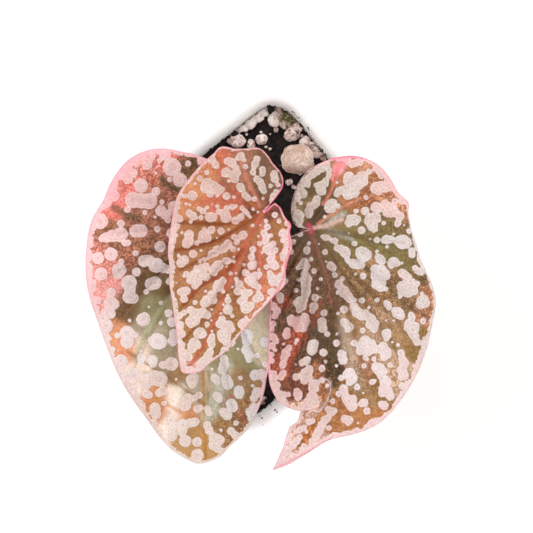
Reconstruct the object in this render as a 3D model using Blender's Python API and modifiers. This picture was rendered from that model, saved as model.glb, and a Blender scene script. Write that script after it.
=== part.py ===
"""A potted begonia: a square white pot of soil, a short cane and three spotted, heart-shaped leaf blades.

Blender 4.5, metres, +Z up. The origin is the middle of the pot's flat underside and the pot's sides
run along X and Y. The plant stands turned in its pot: "across" and "along" below are the plant's own
two directions, along being the way from the leaf tips to the leaf shoulders.
"""

import math
import random

import bmesh
import bpy
from mathutils import Matrix, Vector, noise

MM = 0.001
PLANT_TURN = math.radians(-38.5)  # the plant's across direction, measured from the pot's +X side

# Pot: a thick square shell with rounded corners, an outward rounded lip and four drain holes
POT_HEIGHT = 90.0
POT_HALF_WIDTH = 50.0  # half the outside width under the lip
POT_CORNER_CENTRE = 34.0  # the corners turn about upright lines at (+-34, +-34)
POT_TAPER = math.tan(math.radians(5.0))
POT_WALL = 4.2
LIP_ROUND = 2.0
LIP_STEPS = 3
INNER_EDGE = 0.6
FOOT_ROUND = 2.0
FLOOR_THICKNESS = 5.0
CORNER_STEPS = 6
DRAIN_OFFSET = 19.0
DRAIN_RADIUS = 4.0

# Soil: fills the pot to a lumpy top, with a plain hole for the cane and grains sunk in its top
SOIL_TOP = 81.0
SOIL_LUMP = 1.3
LUMP_SCALES = (0.11, 0.31)  # turns of the noise per millimetre, broad lumps and fine ones
SOIL_DOME = 0.0004
SOIL_RINGS = 9
SOIL_SIDE_STEPS = 7
GRAIN_COUNT = 24
GRAIN_SEED = 11
GRAIN_SIZES = (1.2, 2.4)
GRAIN_LUMP = 0.18
CANE_CLEARANCE = 12.0  # no grain nearer to the pot's middle than this
GAP = 0.3  # between pieces that touch

# Grains where the leaves leave the soil open (across, along, radius)
OPEN_GRAINS = [
    (-8.2, 45.9, 2.9),
    (-2.9, 44.4, 1.9),
    (1.2, 46.3, 2.3),
    (6.6, 50.1, 1.1),
    (12.6, 48.2, 2.7),
    (17.9, 46.3, 2.1),
    (21.7, 41.4, 1.7),
    (8.1, 55.2, 2.6),
    (11.4, 30.0, 1.3),
    (1.6, -53.4, 1.9),
]

# Pumice pebble, lying near the corner that the leaves leave open (across, along)
PEBBLE_PLACE = (14.8, 38.2)
PEBBLE_RADIUS = 6.1
PEBBLE_FLATNESS = 0.8
PEBBLE_LUMPS = ((0.22, 0.10), (0.6, 0.04))  # noise scale and depth, broad and fine
PEBBLE_SEAT = 81.2

# Cane: centre line (across, along, height) and radius, thicker at the joints that stalks leave from
CANE_LINE = [
    (-0.5, 2.0, 59.0, 3.0),
    (-0.5, 2.0, 85.0, 3.0),
    (-0.1, 2.5, 94.0, 2.7),
    (0.1, 2.8, 97.0, 3.3),
    (0.4, 3.2, 100.0, 2.6),
    (1.3, 4.6, 110.0, 2.4),
    (1.5, 5.0, 113.0, 3.0),
    (1.6, 5.3, 116.0, 2.3),
    (1.9, 6.8, 128.0, 2.1),
    (2.0, 7.4, 131.0, 2.6),
    (2.1, 8.1, 134.5, 1.8),
    (2.1, 8.6, 136.5, 1.0),
]
STALK_RADIUS = 1.6
STALK_TOP_RADIUS = 1.25
STALK_RISE = 7.0  # the last stretch under each blade runs square to it

# Blades: a mesh of columns from the hub to the margin, each crossed by rows
BLADE_THICKNESS = 0.8
BLADE_ROWS = 9
ROW_CROWDING = 0.9  # under 1 sets the rows closer together towards the margin
COLUMN_PITCH = 6.5  # at the margin
QUILT = 1.5  # how far the blade puffs up between its veins
RIPPLE = 0.9  # how far its margin waves
RIPPLE_TURNS = 11
RELIEF_REACH = 30.0  # both grow to their full height over this distance from the hub
DOME_SOFTNESS = 8.0
TEAR_ROW = 6  # the last row that both sides of a tear share
TEAR_GAP = 0.35
TEAR_SINK = 0.25  # how much of the upper side's lift the lower side drops

# Each blade is given around its hub, the place where its stalk meets it. An outline point is
# (bearing in degrees from across towards along, reach in mm). A vein is (bearing at the margin,
# bearing where it leaves the hub). Both lists run the same way round, from one side of the notch
# at the hub to the other.
LEFT_BLADE = {
    "name": "leaf_left",
    "hub": (-15.5, 12.0, 138.0),
    "stalk": [(0.1, 2.7, 97.0), (-6.3, 4.9, 108.0), (-12.8, 8.9, 122.0)],
    "lean": (0.06, 0.105),
    "fold": 0.195,
    "arch": 0.0012,
    "outlines": [
        [
            (52, 6), (60, 12), (75, 18), (95, 22.6), (111, 26.5), (127, 32.6), (142, 36.1), (156, 37.5),
            (168, 38.1), (178, 41.2), (193, 44.6), (207, 48.4), (221, 52.9), (231, 58.0), (241, 65.0),
            (250, 72.4), (258, 81.0), (263, 84.4), (266, 85.5), (271, 82.6), (274, 78.5), (280, 72.0),
            (287, 60.6), (290, 55.0), (299, 45), (310, 35), (322, 26), (334, 18), (346, 13.5),
            (362, 11.5), (384, 9), (396, 6),
        ]
    ],
    "veins": [
        (74, 68), (104, 100), (136, 130), (162, 158), (186, 184), (208, 205), (226, 222), (241, 239),
        (254, 252), (265.8, 264), (277, 272), (290, 280), (312, 296), (345, 330),
    ],
}
MIDDLE_BLADE = {
    "name": "leaf_middle",
    "hub": (2.4, 15.9, 158.0),
    "stalk": [(2.0, 7.4, 131.0), (2.4, 10.0, 139.0), (2.9, 13.4, 147.0)],
    "lean": (0.10, 0.08),
    "fold": 0.14,
    "arch": 0.0018,
    "outlines": [
        [
            (50, 4), (51, 8), (57, 11), (67, 13.3), (81, 15.7), (91, 19.5), (97, 20.7), (105, 21),
            (115, 22.3), (124, 25.4), (132, 25.1), (143, 25.6), (155, 26.8), (168, 28.6), (181, 30.0),
            (192, 31.7), (202, 34.2), (210, 36.2), (217, 39.5), (223, 42.2), (229, 46), (235, 51),
            (240, 57.6), (242.5, 60.4), (245.5, 59.3), (247.8, 57.6), (250, 53.4), (254, 48.5),
            (259, 40.6), (264, 35), (270, 31), (277, 27.5), (286, 24.4), (290, 20), (297, 17), (306, 15),
            (319, 10.8), (331, 9.6), (339, 7.5), (352, 6), (374, 5), (400, 4),
        ]
    ],
    "veins": [
        (87, 90), (114, 118), (133, 136), (154, 150), (173, 164), (187, 210), (203, 222), (214, 229),
        (229, 235), (243, 238), (255, 246), (267, 256), (290, 285), (330, 325),
    ],
}
RIGHT_BLADE = {
    "name": "leaf_right",
    "hub": (17.0, 10.3, 150.0),
    "stalk": [(1.5, 5.1, 113.0), (8.2, 5.9, 122.0), (14.7, 7.9, 135.0)],
    "lean": (-0.02, 0.10),
    "fold": 0.18,
    "arch": 0.0012,
    "outlines": [
        [
            (172, 4), (157, 5.8), (140, 7.7), (127, 9.9), (117, 11.9), (105, 15), (92, 19), (80, 22.2),
            (69, 25.3), (57, 28.8), (45, 30.8), (33, 31.5), (22, 31.9), (15, 33.8), (9, 33.0), (-1, 33.9),
            (-10, 36.6), (-15.5, 38.6), (-21.3, 42.7), (-26.5, 46.9), (-30, 49.3), (-36, 52.0),
            (-46, 57.6), (-57, 64.0), (-66, 69.4), (-71, 71.6), (-76, 72.3), (-84, 73.0), (-90, 77.5),
            (-95, 82.4), (-98, 84.8),
        ],
        [
            (-86.8, 64.2), (-93, 62.4), (-99, 59.7), (-104, 53.8), (-107, 46), (-111, 37), (-118, 27.5),
            (-132, 19), (-145, 13), (-158, 9),
        ],
    ],
    # The lower end of the blade is torn: the free edge of each side of the tear, from its inner end
    "tear": {
        "inner": (-84.5, 50.3),
        "under": [(-92.4, 63.0), (-95.5, 74.5), (-98, 84.8)],
        "over": [(-81.4, 53.8), (-82.3, 58.0), (-86.8, 64.2)],
        "lift": 3.2,
    },
    "veins": [
        (140, 146), (104, 108), (70, 76), (46, 55), (22, 38), (6, 14), (-10, -6), (-24, -22), (-36, -34),
        (-47, -44), (-57, -52), (-71, -60), (-84, -62), (-96, -66), (-99.5, -78), (-105, -88), (-112, -98),
        (-124, -110), (-142, -132),
    ],
}


def remove_everything():
    """Clears the startup scene, so the script also runs from the text editor."""
    for obj in list(bpy.data.objects):
        bpy.data.objects.remove(obj)


def make_collection(name):
    collection = bpy.data.collections.new(name)
    bpy.context.scene.collection.children.link(collection)
    return collection


def make_material(name, red, green, blue, roughness):
    """A Principled surface with one colour, given in linear light."""
    material = bpy.data.materials.new(name)
    material.use_nodes = True
    shader = material.node_tree.nodes["Principled BSDF"]
    shader.inputs["Base Color"].default_value = (red, green, blue, 1.0)
    shader.inputs["Roughness"].default_value = roughness
    shader.inputs["Metallic"].default_value = 0.0
    return material


def add_object(name, mesh, material, collection, parent=None):
    obj = bpy.data.objects.new(name, mesh)
    mesh.materials.append(material)
    collection.objects.link(obj)
    obj.parent = parent
    return obj


def applied_mesh(obj, name):
    """The object's mesh with its modifiers applied."""
    graph = bpy.context.evaluated_depsgraph_get()
    mesh = bpy.data.meshes.new_from_object(obj.evaluated_get(graph))
    mesh.name = name
    return mesh


def mesh_from_bmesh(name, shape):
    mesh = bpy.data.meshes.new(name)
    bmesh.ops.recalc_face_normals(shape, faces=shape.faces)
    shape.to_mesh(mesh)
    shape.free()
    return mesh


def unite(base, pieces, name):
    """Joins the collection's objects to the base with one Boolean union and removes them."""
    join = base.modifiers.new("Join", "BOOLEAN")
    join.operation = "UNION"
    join.operand_type = "COLLECTION"
    join.collection = pieces
    mesh = applied_mesh(base, name)
    base.modifiers.remove(join)
    base.data = mesh
    for piece in list(pieces.objects):
        bpy.data.objects.remove(piece)


def rounded_square(half, height, side_steps=1):
    """The points of a square with round corners, counter-clockwise from the +X side, in metres."""
    corner = half - POT_CORNER_CENTRE
    quarter = []
    for step in range(CORNER_STEPS + 1):
        angle = math.radians(90.0 * step / CORNER_STEPS)
        turned = Vector((math.cos(angle), math.sin(angle))) * corner
        quarter.append(Vector((POT_CORNER_CENTRE + turned.x, POT_CORNER_CENTRE + turned.y, height)))
    for step in range(1, side_steps):
        quarter.append(Vector((POT_CORNER_CENTRE * (1.0 - 2.0 * step / side_steps), half, height)))
    turns = [Matrix.Rotation(math.radians(90.0 * side), 3, "Z") for side in range(4)]
    return [turn @ point * MM for turn in turns for point in quarter]


def loft(rings):
    """A closed body through rings of the same number of points, with its two ends filled."""
    shape = bmesh.new()
    loops = [[shape.verts.new(point) for point in ring] for ring in rings]
    for low, high in zip(loops, loops[1:]):
        for index in range(len(low)):
            after = (index + 1) % len(low)
            shape.faces.new((low[index], low[after], high[after], high[index]))
    shape.faces.new(loops[0])
    shape.faces.new(loops[-1])
    return shape


def outer_half(height):
    """Half the outside width of the pot at a height under its lip."""
    return POT_HALF_WIDTH - (POT_HEIGHT - LIP_ROUND - height) * POT_TAPER


def inner_half(height):
    """Half the inside width of the pot at a height."""
    return POT_HALF_WIDTH - POT_WALL - (POT_HEIGHT - height) * POT_TAPER


def make_pot(collection):
    """The shell as one loft: up the outside, round the lip and down the inside to the floor."""
    lip_height = POT_HEIGHT - LIP_ROUND
    profile = [
        (outer_half(0.0) - FOOT_ROUND, 0.0),
        (outer_half(0.0) - 0.3 * FOOT_ROUND, 0.3 * FOOT_ROUND),
        (outer_half(FOOT_ROUND), FOOT_ROUND),
    ]
    for step in range(LIP_STEPS + 1):
        angle = math.radians(90.0 * step / LIP_STEPS)
        out = POT_HALF_WIDTH - LIP_ROUND * (1.0 - math.cos(angle))
        profile.append((out, lip_height + LIP_ROUND * math.sin(angle)))
    profile += [
        (inner_half(POT_HEIGHT) + INNER_EDGE, POT_HEIGHT),
        (inner_half(POT_HEIGHT - INNER_EDGE), POT_HEIGHT - INNER_EDGE),
        (inner_half(FLOOR_THICKNESS + FOOT_ROUND), FLOOR_THICKNESS + FOOT_ROUND),
        (inner_half(FLOOR_THICKNESS) - FOOT_ROUND, FLOOR_THICKNESS),
    ]
    shape = loft([rounded_square(half, height) for half, height in profile])
    white = make_material("matte white ceramic", 0.80, 0.75, 0.72, 0.5)
    pot = add_object("pot", mesh_from_bmesh("pot", shape), white, collection)
    pot.data.shade_smooth()
    pot.data.set_sharp_from_angle(angle=math.radians(40.0))
    return pot


def drill_drains(pot, cutters):
    """Four round holes through the floor, clear of the middle where the origin is."""
    for across in (-1, 1):
        for along in (-1, 1):
            bpy.ops.mesh.primitive_cylinder_add(
                vertices=20,
                radius=DRAIN_RADIUS * MM,
                depth=4 * FLOOR_THICKNESS * MM,
                location=(across * DRAIN_OFFSET * MM, along * DRAIN_OFFSET * MM, 0.0),
            )
            cutter = bpy.context.object
            cutter.name = f"drain_cutter_{across}_{along}"
            cutter.hide_render = True
            cutter.display_type = "WIRE"
            for home in list(cutter.users_collection):
                home.objects.unlink(cutter)
            cutters.objects.link(cutter)
    drill = pot.modifiers.new("Drains", "BOOLEAN")
    drill.operation = "DIFFERENCE"
    drill.operand_type = "COLLECTION"
    drill.collection = cutters


def in_pot(across, along):
    """A place given in the plant's directions, in the pot's X and Y."""
    return Matrix.Rotation(PLANT_TURN, 2) @ Vector((across, along))


def soil_height(x, y):
    """The lumpy top of the soil, level under the pebble so that it lies firmly."""
    place = Vector((x, y, 0.0))
    lumps = noise.noise(place * LUMP_SCALES[0]) + 0.5 * noise.noise(place * LUMP_SCALES[1])
    height = SOIL_TOP + SOIL_LUMP * lumps - SOIL_DOME * place.length_squared
    seat = 1.0 - min(1.0, (place.xy - in_pot(*PEBBLE_PLACE)).length / (1.3 * PEBBLE_RADIUS))
    level = min(1.0, 2.0 * seat)
    return height * (1.0 - level) + (PEBBLE_SEAT - GAP) * level


def make_soil(collection):
    """Rings from the cane's hole out to the pot's wall, then down the wall, with a blind hole."""
    hole_x, hole_y = in_pot(*CANE_LINE[0][:2])
    hole_radius = CANE_LINE[0][3] + GAP
    hole_floor = CANE_LINE[0][2] - GAP
    edge = rounded_square(inner_half(SOIL_TOP) - GAP, 0.0, SOIL_SIDE_STEPS)
    for index, point in enumerate(edge):
        height = soil_height(point.x / MM, point.y / MM)
        edge[index] = rounded_square(inner_half(height) - GAP, 0.0, SOIL_SIDE_STEPS)[index]
    bearings = [math.atan2(point.y / MM - hole_y, point.x / MM - hole_x) for point in edge]
    hole = [
        Vector((hole_x + hole_radius * math.cos(bearing), hole_y + hole_radius * math.sin(bearing)))
        for bearing in bearings
    ]
    rings = [[Vector((p.x, p.y, hole_floor)) * MM for p in hole]]
    for step in range(SOIL_RINGS + 1):
        share = step / SOIL_RINGS
        ring = []
        for near, far in zip(hole, edge):
            flat = near.lerp(far.xy / MM, share)
            ring.append(Vector((flat.x, flat.y, soil_height(flat.x, flat.y))) * MM)
        rings.append(ring)
    low = FLOOR_THICKNESS + GAP
    for inset, rise in ((0.0, FOOT_ROUND), (FOOT_ROUND, 0.0)):
        rings.append(rounded_square(inner_half(low + rise) - inset - GAP, low + rise, SOIL_SIDE_STEPS))
    shape = loft(rings)
    bmesh.ops.triangulate(shape, faces=shape.faces)
    dark = make_material("dark potting soil", 0.012, 0.009, 0.008, 0.95)
    return add_object("soil", mesh_from_bmesh("soil", shape), dark, collection)


def clear_of_wall(spot, radius):
    """The place itself, or the nearest one where a grain stays off the pot's wall."""
    half = inner_half(SOIL_TOP) - GAP - (1.0 + GRAIN_LUMP) * radius
    kept = Vector((max(-half, min(half, spot.x)), max(-half, min(half, spot.y))))
    corner = Vector((math.copysign(POT_CORNER_CENTRE, kept.x), math.copysign(POT_CORNER_CENTRE, kept.y)))
    if min(abs(kept.x), abs(kept.y)) > POT_CORNER_CENTRE:
        away = kept - corner
        kept = corner + away * min(1.0, (half - POT_CORNER_CENTRE) / max(away.length, GAP))
    return kept


def sink_grains(soil, grains):
    """Perlite grains, each a low lump sunk well into the soil, more of them where the soil shows."""
    draw = random.Random(GRAIN_SEED)
    reach = inner_half(SOIL_TOP)
    places = [(clear_of_wall(in_pot(across, along), size), size) for across, along, size in OPEN_GRAINS]
    while len(places) < GRAIN_COUNT:
        radius = draw.uniform(*GRAIN_SIZES)
        spot = clear_of_wall(Vector((draw.uniform(-reach, reach), draw.uniform(-reach, reach))), radius)
        clear = spot.length > CANE_CLEARANCE
        clear = clear and (spot - in_pot(*PEBBLE_PLACE)).length > 2.0 * PEBBLE_RADIUS
        if clear and all((spot - other).length > radius + size + 1.0 for other, size in places):
            places.append((spot, radius))
    for number, (spot, radius) in enumerate(places):
        shape = bmesh.new()
        bmesh.ops.create_icosphere(shape, subdivisions=1, radius=radius * MM)
        for vert in shape.verts:
            vert.co *= 1.0 + GRAIN_LUMP * noise.noise(vert.co / MM * 0.6 + Vector((number, 0.0, 0.0)))
        grain = bpy.data.objects.new(f"grain_{number}", mesh_from_bmesh("grain", shape))
        grain.location = Vector((spot.x, spot.y, soil_height(*spot) + 0.1 * radius)) * MM
        grain.rotation_euler = [draw.uniform(0.0, math.tau) for _ in range(3)]
        grains.objects.link(grain)
    unite(soil, grains, "soil")


def make_pebble(collection, plant):
    """A rounded, pitted lump with its lowest point on the soil's level seat."""
    shape = bmesh.new()
    bmesh.ops.create_icosphere(shape, subdivisions=3, radius=PEBBLE_RADIUS * MM)
    for vert in shape.verts:
        place = vert.co / MM
        vert.co *= 1.0 + sum(depth * noise.noise(place * scale) for scale, depth in PEBBLE_LUMPS)
        vert.co.z *= PEBBLE_FLATNESS
    lowest = min(vert.co.z for vert in shape.verts)
    pale = make_material("pale pumice", 0.62, 0.44, 0.36, 0.9)
    pebble = add_object("pumice_pebble", mesh_from_bmesh("pumice_pebble", shape), pale, collection, plant)
    pebble.location = (PEBBLE_PLACE[0] * MM, PEBBLE_PLACE[1] * MM, PEBBLE_SEAT * MM - lowest)
    pebble.data.shade_smooth()


def make_tube(name, line, material, collection, parent):
    """A round stem along (across, along, height, radius) points, as a closed mesh."""
    curve = bpy.data.curves.new(name, "CURVE")
    curve.dimensions = "3D"
    curve.bevel_depth = MM
    curve.bevel_resolution = 2
    curve.use_fill_caps = True
    spline = curve.splines.new("POLY")
    spline.points.add(len(line) - 1)
    for point, (across, along, height, radius) in zip(spline.points, line):
        point.co = (across * MM, along * MM, height * MM, 1.0)
        point.radius = radius
    tube = bpy.data.objects.new(name, curve)
    bpy.context.scene.collection.objects.link(tube)
    tube.parent = parent
    bpy.context.view_layer.update()
    mesh = applied_mesh(tube, name)
    shape = bmesh.new()
    shape.from_mesh(mesh)
    bmesh.ops.remove_doubles(shape, verts=shape.verts, dist=1e-6)
    shape.to_mesh(mesh)
    shape.free()
    bpy.data.objects.remove(tube)
    mesh.materials.clear()
    solid = add_object(name, mesh, material, collection, parent)
    bpy.context.view_layer.update()
    return solid


def smooth_line(points, steps):
    """Points on a smooth curve through the given ones, ends included."""
    ends = [points[0] * 2 - points[1]] + points + [points[-1] * 2 - points[-2]]
    line = []
    for before, start, stop, after in zip(ends, ends[1:], ends[2:], ends[3:]):
        for step in range(steps):
            s = step / steps
            line.append(
                0.5 * (2 * start + (stop - before) * s + (2 * before - 5 * start + 4 * stop - after) * s * s
                       + (3 * start - before - 3 * stop + after) * s ** 3)
            )
    return line + [points[-1]]


def hub_normal(blade):
    return Vector((-blade["lean"][0], -blade["lean"][1], 1.0)).normalized()


def stalk_line(blade):
    """The stalk's centre line: out of the cane, up, and square to the blade just under its hub."""
    hub = Vector(blade["hub"])
    up = hub_normal(blade)
    route = [Vector(point) for point in blade["stalk"]]
    route += [hub - up * STALK_RISE, hub - up * (BLADE_THICKNESS + GAP)]
    line = smooth_line(route, 3)
    last = len(line) - 1
    width = STALK_RADIUS - STALK_TOP_RADIUS
    return [(p.x, p.y, p.z, STALK_RADIUS - width * index / last) for index, p in enumerate(line)]


def make_cane(collection, stalks, plant):
    """The cane and its three stalks, joined as the one piece they grew as."""
    green = make_material("reddish green stem", 0.20, 0.075, 0.045, 0.45)
    cane = make_tube("cane", CANE_LINE, green, collection, plant)
    for blade in (LEFT_BLADE, MIDDLE_BLADE, RIGHT_BLADE):
        make_tube("stalk_" + blade["name"], stalk_line(blade), green, stalks, plant)
    unite(cane, stalks, "cane")
    cane.data.shade_smooth()
    cane.data.set_sharp_from_angle(angle=math.radians(50.0))


def value_at(table, bearing):
    """Smooth value at a bearing from (bearing, value) pairs in either order of bearing."""
    way = 1.0 if table[-1][0] > table[0][0] else -1.0
    spots = [(way * place, value) for place, value in table]
    place = min(max(way * bearing, spots[0][0]), spots[-1][0])
    index = next(i for i in range(len(spots) - 1) if place <= spots[i + 1][0] + 1e-9)
    (start, low), (stop, high) = spots[index], spots[index + 1]
    slopes = []
    for middle in (index, index + 1):
        first, last = spots[max(middle - 1, 0)], spots[min(middle + 1, len(spots) - 1)]
        slopes.append((last[1] - first[1]) / (last[0] - first[0]) * (stop - start))
    s = (place - start) / (stop - start)
    return (
        low * (2 * s ** 3 - 3 * s * s + 1)
        + high * (3 * s * s - 2 * s ** 3)
        + slopes[0] * (s ** 3 - 2 * s * s + s)
        + slopes[1] * (s ** 3 - s * s)
    )


def leaving_at(veins, bearing):
    """The bearing at the hub of the line that reaches the margin at a bearing, between its two veins."""
    way = 1.0 if veins[-1][0] > veins[0][0] else -1.0
    place = way * bearing
    if place <= way * veins[0][0]:
        return bearing + veins[0][1] - veins[0][0]
    for (end, leave), (next_end, next_leave) in zip(veins, veins[1:]):
        if place <= way * next_end:
            return leave + (next_leave - leave) * (bearing - end) / (next_end - end)
    return bearing + veins[-1][1] - veins[-1][0]


def column_bearings(outline, veins):
    """Bearings of a blade's mesh columns with their place between two veins: 0 on a vein, 0.5 midway."""
    way = 1.0 if outline[-1][0] > outline[0][0] else -1.0
    first, last = way * outline[0][0], way * outline[-1][0]
    stops = [first] + [way * end for end, _ in veins if first + 2 < way * end < last - 2] + [last]
    columns = []
    for start, stop in zip(stops, stops[1:]):
        arc = math.radians(stop - start) * value_at(outline, way * (start + stop) / 2)
        count = max(2, round(arc / COLUMN_PITCH))
        columns += [(way * (start + (stop - start) * n / count), n / count) for n in range(count)]
    return columns + [(way * last, 0.0)]


def column_points(outline, veins, bearing):
    """The plan points of a column from the hub's side to the margin, relative to the hub."""
    reach = value_at(outline, bearing)
    leave = leaving_at(veins, bearing)
    points = []
    for row in range(1, BLADE_ROWS + 1):
        share = (row / BLADE_ROWS) ** ROW_CROWDING
        angle = math.radians(bearing + (leave - bearing) * (1.0 - share))
        points.append(Vector((math.cos(angle), math.sin(angle))) * reach * share)
    return points


def polar(bearing, reach):
    return Vector((math.cos(math.radians(bearing)), math.sin(math.radians(bearing)))) * reach


def tear_points(blade, side):
    """The plan points of one side of the tear: the shared way to its inner end, then its free edge."""
    tear = blade["tear"]
    inner = polar(*tear["inner"])
    leave = polar(leaving_at(blade["veins"], tear["inner"][0]), 0.5 * inner.length)
    points = []
    for row in range(1, TEAR_ROW + 1):
        s = row / (TEAR_ROW + 0.2)
        points.append(leave * 2 * s * (1 - s) + inner * s * s)
    free = [inner] + [polar(*point) for point in tear[side]]
    apart = TEAR_GAP if side == "under" else -TEAR_GAP
    points.append(inner + Vector((-inner.y, inner.x)).normalized() * apart)
    rest = BLADE_ROWS - TEAR_ROW - 1
    for row in range(1, rest + 1):
        place = row / rest * (len(free) - 1)
        index = min(int(place), len(free) - 2)
        points.append(free[index].lerp(free[index + 1], place - index))
    return points


def blade_height(blade, flat, share, between, bearing):
    """Height over the hub: the blade's lean and arch, quilting between its veins, a rippled margin."""
    lean, fold, arch = blade["lean"], blade["fold"], blade["arch"]
    crest = math.hypot(flat.y, DOME_SOFTNESS) - DOME_SOFTNESS
    height = lean[0] * flat.x + lean[1] * flat.y - fold * crest - arch * flat.length_squared
    grown = min(1.0, flat.length / RELIEF_REACH)
    puff = QUILT * grown * math.sin(math.pi * between) * math.sin(math.pi * share)
    ripple = RIPPLE * grown * share ** 3 * math.sin(math.radians(bearing) * RIPPLE_TURNS)
    return height + puff + ripple


def blade_columns(blade, outline):
    """All columns of one side of a blade as lists of points relative to the hub."""
    columns = []
    for bearing, between in column_bearings(outline, blade["veins"]):
        flats = column_points(outline, blade["veins"], bearing)
        column = []
        for row, flat in enumerate(flats, start=1):
            share = (row / BLADE_ROWS) ** ROW_CROWDING
            column.append(Vector((flat.x, flat.y, blade_height(blade, flat, share, between, bearing))))
        columns.append(column)
    return columns


def torn_columns(blade):
    """The two sides of a torn blade: the tear's own edges, the upper side lifted over the lower one."""
    under_side, over_side = (blade_columns(blade, outline) for outline in blade["outlines"])
    edges = {}
    for side in ("under", "over"):
        edge = []
        for row, flat in enumerate(tear_points(blade, side), start=1):
            share = (row / BLADE_ROWS) ** ROW_CROWDING
            edge.append(Vector((flat.x, flat.y, blade_height(blade, flat, share, 0.0, -90.0))))
        edges[side] = edge
    under_side[-1] = edges["under"]
    over_side[0] = edges["over"]
    spread = 3  # columns beside the tear that rise or drop with it
    for columns, way in ((under_side[::-1], -TEAR_SINK), (over_side, 1.0)):
        for steps_away, column in enumerate(columns[:spread]):
            for row in range(TEAR_ROW, BLADE_ROWS):
                rise = min(1.0, (row - TEAR_ROW + 1.5) / (BLADE_ROWS - TEAR_ROW))
                column[row].z += way * blade["tear"]["lift"] * rise * (1.0 - steps_away / spread)
    return [under_side, over_side]


def make_blade(blade, collection, plant, material):
    """One thin arched blade: columns of triangles from its hub to its margin, then given its thickness."""
    sides = torn_columns(blade) if "tear" in blade else [blade_columns(blade, blade["outlines"][0])]
    shape = bmesh.new()
    hub = shape.verts.new((0.0, 0.0, 0.0))
    for columns in sides:
        made = [[shape.verts.new(point * MM) for point in column] for column in columns]
        for left, right in zip(made, made[1:]):
            shape.faces.new((hub, left[0], right[0]))
            for row in range(BLADE_ROWS - 1):
                shape.faces.new((left[row], left[row + 1], right[row + 1]))
                shape.faces.new((left[row], right[row + 1], right[row]))
    bmesh.ops.remove_doubles(shape, verts=shape.verts, dist=1e-6)
    bmesh.ops.recalc_face_normals(shape, faces=shape.faces)
    shape.normal_update()
    if sum(face.normal.z * face.calc_area() for face in shape.faces) < 0.0:
        bmesh.ops.reverse_faces(shape, faces=shape.faces)
    mesh = bpy.data.meshes.new(blade["name"])
    shape.to_mesh(mesh)
    shape.free()
    leaf = add_object(blade["name"], mesh, material, collection, plant)
    leaf.location = Vector(blade["hub"]) * MM
    thicken = leaf.modifiers.new("Thickness", "SOLIDIFY")
    thicken.thickness = BLADE_THICKNESS * MM
    thicken.offset = -1.0
    leaf.data.shade_smooth()


remove_everything()
begonia = make_collection("potted_begonia")
cutters = make_collection("cutters")
repeats = make_collection("repeats_to_join")

plant = bpy.data.objects.new("plant", None)
plant.rotation_euler.z = PLANT_TURN
begonia.objects.link(plant)

pot = make_pot(begonia)
drill_drains(pot, cutters)
soil = make_soil(begonia)
sink_grains(soil, repeats)
make_pebble(begonia, plant)
make_cane(begonia, repeats, plant)
make_blade(LEFT_BLADE, begonia, plant, make_material("rose and olive blade", 0.42, 0.19, 0.13, 0.5))
make_blade(MIDDLE_BLADE, begonia, plant, make_material("terracotta blade", 0.47, 0.19, 0.11, 0.5))
make_blade(RIGHT_BLADE, begonia, plant, make_material("olive blade", 0.26, 0.19, 0.09, 0.5))
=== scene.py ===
import math
import random

import bmesh
import bpy
import numpy as np
from mathutils import Matrix, Vector, geometry, kdtree, noise


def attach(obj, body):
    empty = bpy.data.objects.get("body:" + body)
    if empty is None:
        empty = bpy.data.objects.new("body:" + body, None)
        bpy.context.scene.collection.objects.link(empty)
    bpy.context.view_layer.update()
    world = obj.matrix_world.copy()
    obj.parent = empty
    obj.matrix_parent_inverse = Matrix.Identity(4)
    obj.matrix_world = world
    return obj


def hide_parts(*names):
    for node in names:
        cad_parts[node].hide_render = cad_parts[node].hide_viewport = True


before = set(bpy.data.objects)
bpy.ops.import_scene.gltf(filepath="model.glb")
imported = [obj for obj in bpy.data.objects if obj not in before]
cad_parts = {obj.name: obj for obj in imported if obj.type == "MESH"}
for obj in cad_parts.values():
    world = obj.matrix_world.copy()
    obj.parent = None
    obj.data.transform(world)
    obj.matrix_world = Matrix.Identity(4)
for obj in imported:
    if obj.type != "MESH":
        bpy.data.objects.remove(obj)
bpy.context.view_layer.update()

# Pot
# A nursery pot moulded in one white piece, square with round corners, its walls drawn in towards a plain
# foot. The rim is rolled outwards and left soft; four round drains are cut through the floor.
# Sizes here and below are in millimetres.

MM = 0.001
POT_HEIGHT = 90.0
POT_HALF_WIDTH = 50.0
POT_CORNER_CENTRE = 34.0
POT_TAPER = math.tan(math.radians(5.0))
POT_WALL = 4.2
LIP_ROUND = 2.0
LIP_INNER_ROUND = 2.1
FLOOR_THICKNESS = 5.0
FOOT_ROUND = 2.0
DRAIN_OFFSET = 19.0
DRAIN_RADIUS = 4.0
SOFT_EDGE = math.radians(40.0)


def linear(hex_colour):
    """An sRGB hex colour as linear light with alpha."""
    values = [int(hex_colour[place:place + 2], 16) / 255.0 for place in (1, 3, 5)]
    return tuple(v / 12.92 if v <= 0.04045 else ((v + 0.055) / 1.055) ** 2.4 for v in values) + (1.0,)


def add_node(tree, kind, inputs=None, output=0, **settings):
    """Adds a node, sets it, fills its inputs with values, hex colours or links, and gives an output."""
    made = tree.nodes.new("ShaderNode" + kind)
    for key, value in settings.items():
        setattr(made, key, value)
    for key, value in (inputs or {}).items():
        if isinstance(value, bpy.types.NodeSocket):
            tree.links.new(value, made.inputs[key])
        else:
            made.inputs[key].default_value = linear(value) if isinstance(value, str) else value
    return made.outputs[output]


def lay(tree, under, over, share, *limits, mode="MIX"):
    """Lays a colour over another by a share times each limit: an output, or (output, none at, full at)."""
    for limit in limits:
        if isinstance(limit, tuple):
            limit = add_node(tree, "MapRange", dict(enumerate(limit)), interpolation_type="SMOOTHSTEP")
        share = add_node(tree, "Math", {0: share, 1: limit}, operation="MULTIPLY")
    return add_node(tree, "Mix", {0: share, 6: under, 7: over}, 2, data_type="RGBA", blend_type=mode)


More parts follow.
